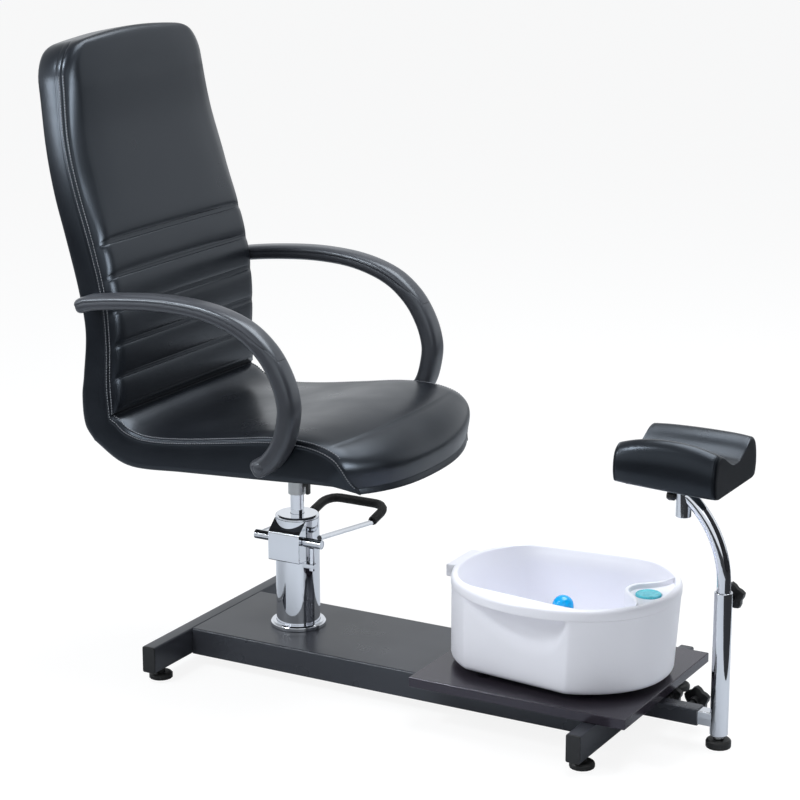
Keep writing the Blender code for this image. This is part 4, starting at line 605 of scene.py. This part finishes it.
spots += [BACK_LENGTH - v for v in (SEAM_REACH, 0.009, 0.0065, 0.005, 0.004, 0.002, 0.001, 0)]
spots = np.array(spots)


def seam_groove(distance):
    return -GROOVE * np.exp(-(((distance - GROOVE_AT) / GROOVE_HALF) ** 2))


def back_stations(spots):
    share = spots / BACK_LENGTH
    front, rear = at_share(BACK_FRONT, share), at_share(BACK_REAR, share)
    out = (front - rear) / norm(front - rear, axis=1)[:, None]
    z = front[:, 1] - CREASE[1]
    lumbar = smoothstep((0.6 * RISE - z) / (0.2 * RISE))
    near = np.min(np.abs(spots[:, None] - SEAMS[None, :]), axis=1)
    roll = 1 - np.clip(1 - near / (0.5 * PITCH), 0, 1) ** ROLL_POWER
    full = BACK_CROWN + LUMBAR_CROWN * lumbar
    crown = np.where(spots < SEAMS[0] - 0.5 * PITCH, full, full * (SEAM_CROWN + (1 - SEAM_CROWN) * roll))
    half = HALF + (TOP_HALF - HALF) * smoothstep((z - 0.6 * RISE) / (0.4 * RISE))
    reach = np.clip(CORNER - spots, 0, None)
    half = half + np.sqrt(CORNER**2 - reach**2) - CORNER
    reach = np.clip(EDGE - spots, 0, None)
    inset = 0.8 * (EDGE - np.sqrt(EDGE**2 - reach**2))
    return {
        "front": front - out * inset[:, None], "rear": rear + out * inset[:, None], "half": half,
        "crown": crown, "groove": seam_groove(near), "bulge": np.zeros(len(spots)),
        "rise": TOP_RISE * np.clip(1 - spots / 0.06, 0, None), "puff": BACK_PUFF * smoothstep((z - 0.1) / 0.25),
        "backed": spots > LINED_FROM, "cap": (0.002, 0.0), "near": np.minimum(near, spots),
        "seam": 0 * spots + BACK_SEAM,
    }


back = back_stations(spots)
back["front"][-1] += (0, CREASE_GAP)
back_piece, back_panel = cushion_mesh("back_upholstery", back)
print("back", len(back_piece.data.vertices), "points")

# %% [markdown]
# The seat rises towards its front, rolls over the edge and ends underneath. Its front bows forward.

# %% Seat stations
SEAT_CROWN, CROWN_FADE, SEAT_SEAM, SEAT_PUFF = 0.018, 0.14, 0.009, 0.001
FRONT_BOW, FRONT_TUCK, FRONT_DROP, FRONT_NARROW = 0.05, 0.014, 0.008, 0.034
LINED_TO = 0.845  # share of the seat's length
seat_spots = np.concatenate([
    [0, 0.001, 0.0025, 0.0045, 0.007, 0.01, 0.014, 0.019, 0.025, 0.032, 0.04],
    np.linspace(0.048, 0.84 * SEAT_LENGTH, 40), [0.8445 * SEAT_LENGTH, 0.8455 * SEAT_LENGTH],
    np.linspace(0.855 * SEAT_LENGTH, 0.985 * SEAT_LENGTH, 22),
    [0.99 * SEAT_LENGTH, 0.994 * SEAT_LENGTH, 0.997 * SEAT_LENGTH, SEAT_LENGTH]])


def past(share, start):
    """0 up to a start, then up to 1 at the seat's end."""
    return np.clip((share - start) / (1 - start), 0, None)


def seat_stations(spots):
    share = spots / SEAT_LENGTH
    front, rear = at_share(SEAT_FRONT, share), at_share(SEAT_REAR, share)
    dip = np.exp(-((spots / 0.014) ** 2))
    crown = SEAT_CROWN * (1 - 0.5 * dip) * smoothstep((1 - share) / CROWN_FADE)
    return {
        "front": front, "rear": rear, "half": HALF - FRONT_NARROW * past(share, 0.9) ** 2, "crown": crown,
        "groove": seam_groove(spots),
        "bulge": FRONT_BOW * smoothstep((share - 0.74) / 0.22) - FRONT_TUCK * past(share, 0.92) ** 2,
        "rise": -FRONT_DROP * past(share, 0.78) ** 1.5, "puff": np.zeros(len(spots)) + SEAT_PUFF,
        "backed": share < LINED_TO, "cap": (0.0, 0.001),
        "near": np.minimum(spots, SEAT_LENGTH - spots - 0.015), "seam": np.minimum(SEAT_SEAM, 0.6 * crown),
    }


seat = seat_stations(seat_spots)
seat["front"][0] -= (0, CREASE_GAP)
seat_piece, seat_panel = cushion_mesh("seat_upholstery", seat)
print("seat", len(seat_piece.data.vertices), "points")

# %% [markdown]
# ## Puffing up the covers
# The foam presses the cover out between its seams. A cloth run with a little inner pressure does that:
# seams, borders and linings are held, and the panels swell by a few millimetres at most. The swelling is
# then evened out among neighbours, as leather is too stiff for small folds.

# %% Cloth pressure
PRESSURE, MOST_MOVE, FRAMES = 3.0, 0.004, 20
SHRINK, STRETCH_STIFF, BEND_STIFF = -0.0012, 40, 4
EVEN_PASSES, EVEN_SHARE = 25, 0.6
COVER_SHARP = radians(50)
HELD_BESIDE, HELD_SHARE = 0.0045, 0.985  # in metres, and as a share of the width


def puff(piece, free):
    before = np.empty(len(piece.data.vertices) * 3)
    piece.data.vertices.foreach_get("co", before)
    before = before.reshape(-1, 3)
    held = piece.vertex_groups.new(name="held")
    held.add([i for i in range(len(before)) if i not in free], 1.0, "REPLACE")
    cloth = piece.modifiers.new("cover", "CLOTH")
    leather = cloth.settings
    leather.vertex_group_mass = "held"
    leather.use_pressure, leather.uniform_pressure_force = True, PRESSURE
    leather.shrink_min = SHRINK
    leather.tension_stiffness = leather.compression_stiffness = STRETCH_STIFF
    leather.bending_stiffness = BEND_STIFF
    leather.effector_weights.gravity = 0
    cloth.point_cache.frame_start, cloth.point_cache.frame_end = 1, FRAMES
    for step in range(1, FRAMES + 1):
        bpy.context.scene.frame_set(step)
    shaped = piece.evaluated_get(bpy.context.evaluated_depsgraph_get())
    after = np.empty(len(before) * 3)
    shaped.data.vertices.foreach_get("co", after)
    move = after.reshape(-1, 3) - before
    size = norm(move, axis=1)
    move *= (np.minimum(size, MOST_MOVE) / np.maximum(size, 1e-9))[:, None]
    ends = np.empty(len(piece.data.edges) * 2, dtype=np.int32)
    piece.data.edges.foreach_get("vertices", ends)
    a, b = np.concatenate([ends[0::2], ends[1::2]]), np.concatenate([ends[1::2], ends[0::2]])
    beside = np.maximum(np.bincount(a, minlength=len(move)), 1)[:, None]
    loose = np.isin(np.arange(len(move)), list(free))[:, None]
    for _ in range(EVEN_PASSES):
        mean = np.stack([np.bincount(a, move[b, k], len(move)) for k in range(3)], axis=1) / beside
        move = ((1 - EVEN_SHARE) * move + EVEN_SHARE * mean) * loose
    piece.modifiers.remove(cloth)
    piece.vertex_groups.clear()
    piece.data.vertices.foreach_set("co", (before + move).ravel())
    piece.data.update()
    bpy.context.scene.frame_set(1)
    print(piece.name, "moved up to", round(float(size.max()) * 1000, 1), "mm, capped at", MOST_MOVE * 1000)


def free_points(panel, near):
    rows = [i for i in range(len(panel)) if near[i] > HELD_BESIDE]
    cols = [j for j in range(len(ACROSS)) if abs(ACROSS[j]) < HELD_SHARE]
    return set(panel[np.ix_(rows, cols)].ravel().tolist())


puff(back_piece, free_points(back_panel, back["near"]))
puff(seat_piece, free_points(seat_panel, seat["near"]))
for piece, node, fill in ((back_piece, "back_cushion", 0.9), (seat_piece, "seat_cushion", 0.95)):
    alone(piece)
    shade(COVER_SHARP)
    settle(piece, node, LEATHER)

# %% [markdown]
# ## Arms
# Each arm is one closed bow of moulded plastic with a soft pad let into its upper part.

# %% Arms
ARM_LINE = smooth_line([
    (-0.037, 0.208), (-0.016, 0.217), (0.083, 0.229), (0.165, 0.232), (0.24, 0.225), (0.308, 0.203),
    (0.353, 0.168), (0.381, 0.125), (0.394, 0.082), (0.392, 0.049), (0.381, 0.011), (0.356, -0.024),
    (0.329, -0.041)])
ARM_HALF, ARM_DEEP, ARM_DEEPER = 0.0225, 0.014, 0.003  # half width, half depth, more at the front
ARM_ROUND, ROUND_ARM_SHARE = 0.004, 0.012  # how far and where the ends draw in
PAD_SHARE, SQUARE = 0.66, 0.62  # where the soft pad ends, and how square the section is
PAD_GAP, PAD_IN, BOW_IN = 0.00015, 0.96, 0.965  # between pad and bow, and how both draw in at the joint
JOINT_LOW, JOINT_RISE, JOINT_RUN = 0.2, 0.73, 0.1  # the joint's height, its rise at the pad's end, over what
arm_shares = np.concatenate([
    [0, 0.0015, 0.004, 0.008, 0.012], np.linspace(0.02, 0.55, 34), np.linspace(0.56, PAD_SHARE, 22)[:-1],
    [0.6599], np.linspace(0.665, 0.985, 34), [0.988, 0.992, 0.996, 0.9985, 1]])


def arm_arc(half_width, half_thick, start, end, count):
    turn = np.linspace(start, end, count)
    c, s = np.cos(turn), np.sin(turn)
    across = half_width * np.sign(c) * np.abs(c) ** SQUARE
    return np.stack([across, half_thick * np.sign(s) * np.abs(s) ** SQUARE], axis=1)


def closed(ring, draw_in):
    """An open section with its ends drawn in a little and joined by a straight run."""
    ring[[0, -1], 0] *= draw_in
    return np.concatenate([ring, np.linspace(ring[-1], ring[0], 8)[1:-1]])


def arm_rings(part, y):
    rings = []
    for share in arm_shares:
        if part == "pad" and share >= PAD_SHARE:
            continue
        middle = at_share(ARM_LINE, share)
        along = at_share(ARM_LINE, share + 0.004) - at_share(ARM_LINE, share - 0.004)
        along /= norm(along)
        out = np.array([-along[1], along[0]])
        from_end = max(0.0, 1 - min(share, 1 - share) / ROUND_ARM_SHARE)
        shrink = ARM_ROUND * (1 - sqrt(max(0.0, 1 - from_end**2)))
        half = ARM_DEEP + ARM_DEEPER * smoothstep((share - 0.35) / 0.3) - shrink
        wide = ARM_HALF - shrink
        joint = JOINT_LOW + JOINT_RISE * smoothstep((share - PAD_SHARE + JOINT_RUN) / JOINT_RUN)
        turn = asin(joint ** (1 / SQUARE))
        lower = arm_arc(wide, half, pi - turn, 2 * pi + turn, 40)
        upper = arm_arc(wide, half, turn, pi - turn, 30 if part == "pad" else 8)
        if part == "pad":
            ring = closed(upper, PAD_IN)
            ring[:, 1] = np.maximum(ring[:, 1], joint * half + PAD_GAP)
        elif share < PAD_SHARE:
            ring = closed(lower, BOW_IN)
            ring[:, 1] = np.minimum(ring[:, 1], joint * half - PAD_GAP)
        else:
            ring = np.concatenate([lower, upper[1:-1]])
        rings.append([(middle[0] + out[0] * v, w + y, middle[1] + out[1] * v) for w, v in ring])
    return rings


SKIN_SHARP = radians(40)


def loft(name, rings):
    """A closed skin over rings of equal count, with flat ends."""
    count = len(rings[0])
    faces = []
    for start in range(0, (len(rings) - 1) * count, count):
        for j in range(count):
            a, b = start + j, start + (j + 1) % count
            faces.append((a, b, b + count, a + count))
    faces += [tuple(range(count)), tuple((len(rings) - 1) * count + j for j in reversed(range(count)))]
    piece = new_piece(name, [tuple(map(float, p)) for ring in rings for p in ring], faces)
    shade(SKIN_SHARP)
    return piece


for side in ("left", "right"):
    low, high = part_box(f"{side}_arm")
    middle_y = (low[1] + high[1]) / 2
    settle(loft(f"{side}_arm_bow", arm_rings("arm", middle_y)), f"{side}_arm", ARM)
    pad = loft(f"{side}_arm_top", arm_rings("pad", middle_y))
    settle(pad, f"{side}_arm_pad", SOFT)
print("arm line", round(ARM_LINE[1][-1], 3), "m")

# %% [markdown]
# ## Foot pad
# A block of foam with a trough for the heel, covered in the same leather with a seam at each end. The cover
# is drawn tight at the ends and lets the near roll stand fuller in the middle.

# %% Foot pad
pad_low, pad_high = (np.array(v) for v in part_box("foot_pad"))
pad_mid = (pad_low + pad_high) / 2
PAD_LENGTH, PAD_WIDTH, PAD_HEIGHT, TROUGH = 0.184, 0.19, 0.069, 0.027
NEAR_LIFT, SAG = 0.0134, 0.004  # of the near roll, and of one end
PAD_POINTS = 120
# From each end inwards: the distance, and how far the sides and the top are drawn in.
PAD_LEVELS = [
    (0.0, 0.016, 0.013), (0.0001, 0.008, 0.007), (0.0004, 0.0045, 0.004), (0.0011, 0.003, 0.0028),
    (0.0022, 0.0018, 0.0018), (0.0038, 0.001, 0.0012), (0.005, 0.0017, 0.0019), (0.0062, 0.0007, 0.001),
    (0.01, 0.0002, 0.0008), (0.015, -0.0004, 0.0005), (0.022, -0.001, 0.0001), (0.032, -0.0016, -0.0004),
    (0.046, -0.002, -0.0009), (0.064, -0.0022, -0.0012), (0.08, -0.0022, -0.0014)]


def pad_section(inset, lower, lift):
    """Once over the pad from the far lower edge to the near one; the near roll is fuller by lift."""
    half, trough = PAD_WIDTH / 2 - inset, PAD_HEIGHT - TROUGH - 0.3 * lower

    def side(top):
        drop = top - trough
        return [(half - 0.014, 0), (half - 0.0045, 0.003), (half - 0.0005, 0.013), (half + 0.0012, 0.38 * top),
                (half - 0.0005, 0.66 * top), (half - 0.0065, 0.87 * top), (half - 0.018, top - 0.0008),
                (half - 0.027, top - 0.0005), (half - 0.04, top - 0.22 * drop),
                (half - 0.058, top - 0.68 * drop), (half - 0.076, trough + 0.0006)]

    near = [(-y, z) for y, z in reversed(side(PAD_HEIGHT - lower + lift))]
    points, lengths = flat_line(side(PAD_HEIGHT - lower) + [(0, trough)] + near)
    return walk(points, lengths, np.linspace(0, lengths[-1], PAD_POINTS))


def pad_rings():
    half = PAD_LENGTH / 2
    places = [(d - half, a, b) for d, a, b in PAD_LEVELS] + [(half - d, a, b) for d, a, b in reversed(PAD_LEVELS)]
    rings = []
    for x, a, b in places:
        lift = NEAR_LIFT * (1 - (abs(x) / half) ** 2.2)
        sag = SAG * x / half
        rings.append([(pad_mid[0] + x, pad_mid[1] + y, pad_low[2] + z - sag * max(0.0, 1 - z / PAD_HEIGHT))
                      for y, z in pad_section(a, b, lift)])
    return rings


pad = loft("foot_pad_cover", pad_rings())
keep_flats(pad)
settle(pad, "foot_pad", LEATHER)
print("foot pad", len(pad.data.vertices), "points")

# %% [markdown]
# ## Foot bath
# The bath is two mouldings: a shell whose long sides are cut flat, and a basin that hangs in it by an oval
# rim. The flats spread towards the front, so they run smoothly into the rear end and meet the front end
# in a crisp upright edge. A finger scoop under the rim, on each flat, is there to lift it by.

# %% Bath rings
BATH_X, BATH_L, BATH_W, POWER = PUMP_X + 0.551, 0.205, 0.179, 2.1  # place, half sizes, power of the oval
RIM_TOP, RIM_LOW, BATH_LOW = 0.256, 0.237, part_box("bath_housing")[0][2]
SPREAD = 0.108  # how fast the flats part towards the front
LEAN = 0.006  # of the bath's foot behind its rim
SHELL_FLAT, FLAT_LEAN, SHELL_IN, SHELL_THICK = 0.145, 0.011, 0.0012, 0.003
TAPER_L, TAPER_W = 0.003, 0.014  # how much shorter and narrower the shell's foot is
BASIN_IN, BASIN_FLAT = 0.011, 0.143
SHELL_EDGE, BASIN_EDGE = 0.0006, 0.006  # softness where a flat meets the oval
SCOOP, SCOOP_HEIGHT = 0.018, 0.084  # depth and height of the finger scoops under the rim
SCOOP_X, SCOOP_REAR, SCOOP_FRONT = 0.015, 0.15, 0.06  # where it is highest, and its two lengths
turns = 2 * np.pi * np.arange(480) / 480


def oval(z, shift, length, width, flat=None, soft=None):
    c, s = np.cos(turns), np.sin(turns)
    reach = (np.abs(c) ** POWER + np.abs(s) ** POWER) ** (-1 / POWER)
    x, y = length * reach * c, width * reach * s
    if flat is not None:
        side = flat + SPREAD * (x - 0.005)
        y = np.sign(y) * -soft * np.logaddexp(-np.abs(y) / soft, -side / soft)
    return [(BATH_X + shift + a, b, z) for a, b in zip(x, y)]


def shell_ring(z, inset):
    share = (z - BATH_LOW) / (RIM_LOW - BATH_LOW)
    length = BATH_L - SHELL_IN - TAPER_L * (1 - share) - inset
    width = BATH_W - SHELL_IN - TAPER_W * (1 - share) - inset
    ring = oval(z, -LEAN * (1 - share), length, width, SHELL_FLAT + FLAT_LEAN * share - inset, SHELL_EDGE)
    x = np.array([p[0] for p in ring]) - BATH_X
    y = np.array([p[1] for p in ring])
    rear = 1 - ((x - SCOOP_X) / SCOOP_REAR) ** 2
    front = np.sqrt(np.clip(1 - ((x - SCOOP_X) / SCOOP_FRONT) ** 2, 0, None))
    ends = np.where(x < SCOOP_X, rear, front)
    deep = SCOOP_HEIGHT * np.clip(ends, 0, None) + 1e-6
    t = np.clip(1 - (RIM_LOW - z) / deep, 0, 1)
    on_flat = smoothstep((np.abs(y) - 0.115) / 0.01)
    y = y - np.sign(y) * on_flat * SCOOP * np.clip(ends, 0, 1) * smoothstep(t)
    return [(p[0], v, z) for p, v in zip(ring, y)]


def basin_ring(z, inset, flat_inset):
    share = max(0.0, (RIM_LOW - z) / (RIM_LOW - BATH_LOW))
    length, width = BATH_L - BASIN_IN - inset, BATH_W - BASIN_IN - inset
    return oval(z, -LEAN * share, length, width, BASIN_FLAT - flat_inset - inset, BASIN_EDGE)


def rim_ring(z, inset):
    return oval(z, 0, BATH_L - inset, BATH_W - inset)


span = RIM_LOW - 0.0003 - BATH_LOW
rings = [shell_ring(BATH_LOW + up, inset) for up, inset in (
    (0, 0.012), (0.0006, 0.0085), (0.002, 0.005), (0.0042, 0.0024), (0.007, 0.0008), (0.01, 0))]
rings += [shell_ring(BATH_LOW + span * part, 0) for part in np.linspace(0.12, 1, 44)]
rings += [shell_ring(BATH_LOW + span * part, SHELL_THICK) for part in np.linspace(1, 0.12, 20)]
rings += [shell_ring(BATH_LOW + 0.003, 0.014)]
settle(loft("bath_shell", rings), "bath_housing", WHITE)

floor_z = BATH_LOW + 0.03
low_wall = [
    (floor_z - 0.003, 0.05, 0), (floor_z + 0.003, 0.027, 0), (floor_z + 0.025, 0.017, -0.004),
    (0.19, 0.01, 0.001), (RIM_LOW, 0.005, 0.006)]
rim_edge = [
    (0, 0.0014), (0.0006, 0.0004), (0.0016, 0), (0.012, 0), (0.0146, 0.0006), (0.0166, 0.0018),
    (0.018, 0.0036), (0.0188, 0.006), (0.019, 0.0088)]
inner_wall = [
    (0.0, -0.001, 0), (0.0005, 0.0002, 0), (0.0016, 0.0011, 0.0002), (0.004, 0.0018, 0.0008),
    (0.01, 0.003, 0.0034), (0.018, 0.0056, 0.0056), (0.03, 0.009, 0.0046), (0.045, 0.0118, 0.0028),
    (0.06, 0.0145, 0.0006), (0.08, 0.0175, -0.001), (RIM_TOP - floor_z - 0.025, 0.021, -0.003)]
basin_floor = [(0.016, 0.0245), (0.009, 0.029), (0.004, 0.035), (0.001, 0.042), (0, 0.05)]
rings = [basin_ring(*row) for row in low_wall] + [rim_ring(RIM_LOW + up, inset) for up, inset in rim_edge]
rings += [basin_ring(RIM_TOP - down, inset, flat) for down, inset, flat in inner_wall]
rings += [basin_ring(floor_z + up, inset, 0) for up, inset in basin_floor]
settle(loft("bath_bowl", rings), "bath_basin", WHITE)
print("bath rim", round(RIM_TOP - RIM_LOW, 3), "m high")

# %% [markdown]
# The dial lies in a keyhole-shaped pocket at the front end of the rim. A lip as high as the rim runs round
# it and parts it from the water. The pocket is drawn as rings too: lip, edge, pocket wall, floor, well.

# %% Pocket for the dial
DIAL = JOINT_AT["dial_turn"]
POCKET = DIAL.z - 0.0035
RIM_IN = 0.0098  # from the rim's outer edge to the pocket's back
WELL = 0.024  # radius of the well that holds the dial
LIP_TAPER, LIP_LEAST = 0.035, 0.15
half_key = [(0.0145, 0.092), (0.01, 0.066), (0.0, 0.046), (-0.014, 0.032), (-0.028, 0.018)]
key = half_key + [(-0.033, 0)] + [(x, -y) for x, y in reversed(half_key)]


def by_y(points):
    return points[np.argsort(points[:, 1])]


def front_rim(inset):
    """The rim's front end, from right to left."""
    return by_y(np.array([(x, y) for x, y, _ in rim_ring(0, inset) if x > BATH_X + 0.06]))


points, lengths = flat_line(key)
ends = front_rim(RIM_IN) - (DIAL.x, 0)
inside = points[:, 0] < np.interp(points[:, 1], ends[:, 1], ends[:, 0]) - 0.0004
first, last = np.flatnonzero(inside)[[0, -1]]
key_line = walk(points, lengths, np.linspace(lengths[first], lengths[last], 90))
reach_y = float(key_line[0, 1])
along = np.gradient(key_line, axis=0)
outward = np.stack([along[:, 1], -along[:, 0]], axis=1) / norm(along, axis=1)[:, None]
taper = smoothstep((reach_y - np.abs(key_line[:, 1])) / LIP_TAPER)
outward *= (LIP_LEAST + (1 - LIP_LEAST) * taper)[:, None]


def pocket_ring(z, off, end_inset):
    """Once round the pocket: the lip's line moved outwards by off, then back along the rim."""
    line = key_line + outward * off + (DIAL.x, 0)
    rim = front_rim(end_inset)
    turn = np.linspace(-reach_y, reach_y, 52)[1:-1]
    back = np.stack([np.interp(turn, rim[:, 1], rim[:, 0]), turn], axis=1)
    high = min(z, RIM_TOP - 0.0022)
    return [(x, y, z) for x, y in line] + [(x, y, high) for x, y in back]


def well_ring(z, radius):
    flat = [np.array([x - DIAL.x, y]) for x, y, _ in pocket_ring(POCKET, 0, RIM_IN)]
    return [(DIAL.x + radius * v[0] / norm(v), radius * v[1] / norm(v), z) for v in flat]


levels = [(-0.0275, 0.008), (-0.004, 0.008), (-0.0022, 0.0076), (-0.0008, 0.0064), (-0.0001, 0.0046),
          (0, 0.0036), (-0.0002, 0.0022), (-0.0009, 0.001), (-0.0022, 0.0003)]
rings = [pocket_ring(RIM_TOP + up, off, 0.006) for up, off in levels]
rings += [pocket_ring(POCKET + up, off, RIM_IN) for up, off in ((0.0012, 0), (0.0003, -0.0004), (0, -0.0012))]
well = [(POCKET, WELL + 0.0006), (POCKET - 0.0004, WELL + 0.0001), (DIAL.z - 0.006, WELL)]
rings += [well_ring(z, radius) for z, radius in well]
settle(loft("bath_pocket", rings), "bath_basin", WHITE)

node_low, node_high = (Vector(v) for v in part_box("massage_node"))
node_at = (node_low + node_high) / 2
circle = [(cos(a), sin(a)) for a in np.radians(np.arange(0, 360, 5))]


def turned(name, profile, at):
    return loft(name, [[(at[0] + r * x, at[1] + r * y, z) for x, y in circle] for r, z in profile])


stand = [
    (0.0275, floor_z - 0.001), (0.0262, floor_z + 0.002), (0.0255, floor_z + 0.006),
    (0.024, node_low.z - 0.005), (0.0234, node_low.z - 0.0018), (0.0222, node_low.z - 0.0005),
    (0.0205, node_low.z - 0.0001)]
settle(turned("bath_stand", stand, node_at), "bath_basin", WHITE)
radius = (node_high.x - node_low.x) / 2
dome = [(radius - 0.0006, node_low.z), (radius, node_low.z + 0.0006), (radius, node_high.z - radius)]
for a in np.radians(np.arange(5, 90, 5)):
    dome.append((radius * cos(a), node_high.z - radius + radius * sin(a)))
settle(turned("massage_dome", dome, node_at), "massage_node", BLUE)
print("pocket reaches", round(reach_y, 3), "m to either side")

# %% [markdown]
# The dial is a coloured disc with finger ribs and a shallow dished top. The tab at the bath's rear is a
# plain block that carries on the line of the rim.

# %% Dial and tab
dial_low, dial_high = (Vector(v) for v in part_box("bath_dial"))
DIAL_R, RIBS, RIB_DEPTH = (dial_high.x - dial_low.x) / 2, 32, 0.0009
TAB_OUT, TAB_RIGHT, TAB_LEFT, TAB_IN = 0.0085, -0.045, 0.05, 0.0085
rib_turn = np.radians(np.arange(0, 360, 1.25))


def dial_level(z, inset, depth):
    radius = DIAL_R - inset - depth * (0.5 + 0.5 * np.cos(RIBS * rib_turn))
    return [(DIAL.x + r * cos(a), r * sin(a), z) for r, a in zip(radius, rib_turn)]


dial_top = dial_high.z - 0.0024
rings = [dial_level(dial_low.z, 0.0004, 0.0008), dial_level(dial_low.z + 0.0005, 0, RIB_DEPTH)]
rings += [dial_level(dial_top - down, inset, depth) for down, inset, depth in (
    (0.0022, 0, RIB_DEPTH), (0.0012, 0.0004, 0.0008), (0.0004, 0.0013, 0.0005), (0, 0.0026, 0),
    (0.0002, 0.004, 0), (0.0008, 0.006, 0), (0.001, 0.011, 0), (0.0004, 0.016, 0), (0.0003, 0.021, 0))]
settle(loft("dial_disc", rings), "bath_dial", TEAL)

edge = by_y(np.array([(x, y) for x, y, _ in rim_ring(0, TAB_IN) if x < BATH_X and abs(y) < 0.06]))


def tab_ring(z, inset):
    y = np.linspace(TAB_RIGHT + inset, TAB_LEFT - inset, 40)
    outer = [(BATH_X - BATH_L - TAB_OUT + inset, v, z) for v in y]
    return outer + [(np.interp(v, edge[:, 1], edge[:, 0]), v, z) for v in reversed(y)]


levels = [(0.233, 0.002), (0.2334, 0.0008), (0.2345, 0), (RIM_TOP - 0.0024, 0), (RIM_TOP - 0.001, 0.0006),
          (RIM_TOP - 0.0002, 0.0018), (RIM_TOP + 0.0001, 0.0034)]
settle(loft("bath_tab", [tab_ring(*level) for level in levels]), "bath_basin", WHITE)
print("dial radius", round(DIAL_R, 4), "m")

# %% [markdown]
# ## Stitching
# The border seams are sewn with two rows of thread. One stitch is modelled and copied along each row.

# %% Stitches
STITCH_RADIUS, STITCH_LENGTH, STITCH_PITCH = 0.001, 0.003, 0.005
STITCH_OFF, STITCH_OUT = 0.0045, 0.0009  # from the seam to either row, and out of the leather
STITCH_END, STITCH_TAPER = 0.0002, (1.25, 0.6, 0.6)  # inset of its ends, and how they are drawn out
bpy.ops.mesh.primitive_cylinder_add(
    vertices=6, radius=STITCH_RADIUS, depth=STITCH_LENGTH, rotation=(0, radians(90), 0))
stitch = bpy.context.object
bpy.ops.object.transform_apply(rotation=True, location=False, scale=False)
mode("EDIT")
bpy.ops.mesh.select_mode(type="FACE")
bpy.ops.mesh.select_all(action="DESELECT")
mode("OBJECT")
for face in stitch.data.polygons:
    face.select = abs(face.normal.x) > 0.9
mode("EDIT")
bpy.ops.mesh.inset(thickness=STITCH_END)
bpy.ops.transform.resize(value=STITCH_TAPER)
mode("OBJECT")
STITCH = np.array([v.co[:] for v in stitch.data.vertices])
STITCH_FACES = [tuple(f.vertices) for f in stitch.data.polygons]
bpy.data.objects.remove(stitch, do_unlink=True)


def sewn(name, rows, node):
    """Stitches along rows of points with the outward direction at each point, as one piece."""
    points, faces = [], []
    for path, outward in rows:
        lengths = lengths_of(path)
        for d in np.arange(0.5 * STITCH_PITCH, lengths[-1], STITCH_PITCH):
            x = walk(path, lengths, d + 0.001) - walk(path, lengths, d - 0.001)
            x /= norm(x)
            z = walk(outward, lengths, d)
            z -= x * (z @ x)
            z /= norm(z)
            turn = np.stack([x, np.cross(z, x), z])
            base = len(points) * len(STITCH)
            points.append(STITCH @ turn + walk(path, lengths, d))
            faces += [tuple(base + v for v in f) for f in STITCH_FACES]
    piece = new_piece(name, np.concatenate(points).tolist(), faces, face_out=False)
    shade(SKIN_SHARP)
    settle(piece, node, THREAD, replaces=False)
    print(name, len(points), "stitches")


def border_rows(st, first, last):
    """Both sides' two rows, one on the border strip and one on the panel's roll."""
    out = st["front"] - st["rear"]
    out /= norm(out, axis=1)[:, None]
    rows = []
    for sign in (-1, 1):
        for forward in (-STITCH_OFF, STITCH_OFF):
            up = np.minimum(max(forward, 0), 0.6 * (st["crown"] - st["seam"]))
            lean = up / np.maximum(st["crown"] - st["seam"], 1e-6)
            inward = ROLL_SHARE * st["half"] * (1 - np.sqrt(1 - lean**2))
            p = st["front"] + out * (st["seam"] + min(forward, 0) + up)[:, None]
            path = np.stack([p[:, 0], sign * (st["half"] + STITCH_OUT - inward), p[:, 1]], axis=1)
            tilt = np.stack([0.3 * lean * out[:, 0], sign + 0 * lean, 0.3 * lean * out[:, 1]], axis=1)
            rows.append((path[first:last], tilt[first:last]))
    return rows


sewn("back_stitching", border_rows(back, 12, None), "back_cushion")
sewn("seat_stitching", border_rows(seat, 0, -3), "seat_cushion")

# %% [markdown]
# The strip light is there for the roll along the edge of the leather. Black flags would keep it off the arms
# and the chrome in a studio, so here it is linked to the two upholstered pieces alone.

# %% What the strip light shines on
lit = bpy.data.collections.new("lit_by_strip")
for piece in (back_piece, seat_piece):
    lit.objects.link(piece)
strip_right.light_linking.receiver_collection = lit

# %% [markdown]
# ## Sizes
# The box round the dressed chair, leaving out the floor and the cards. The dressed
# chair has to stay within the solids' box, apart from a little softness.

# %% Finish
low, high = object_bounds()
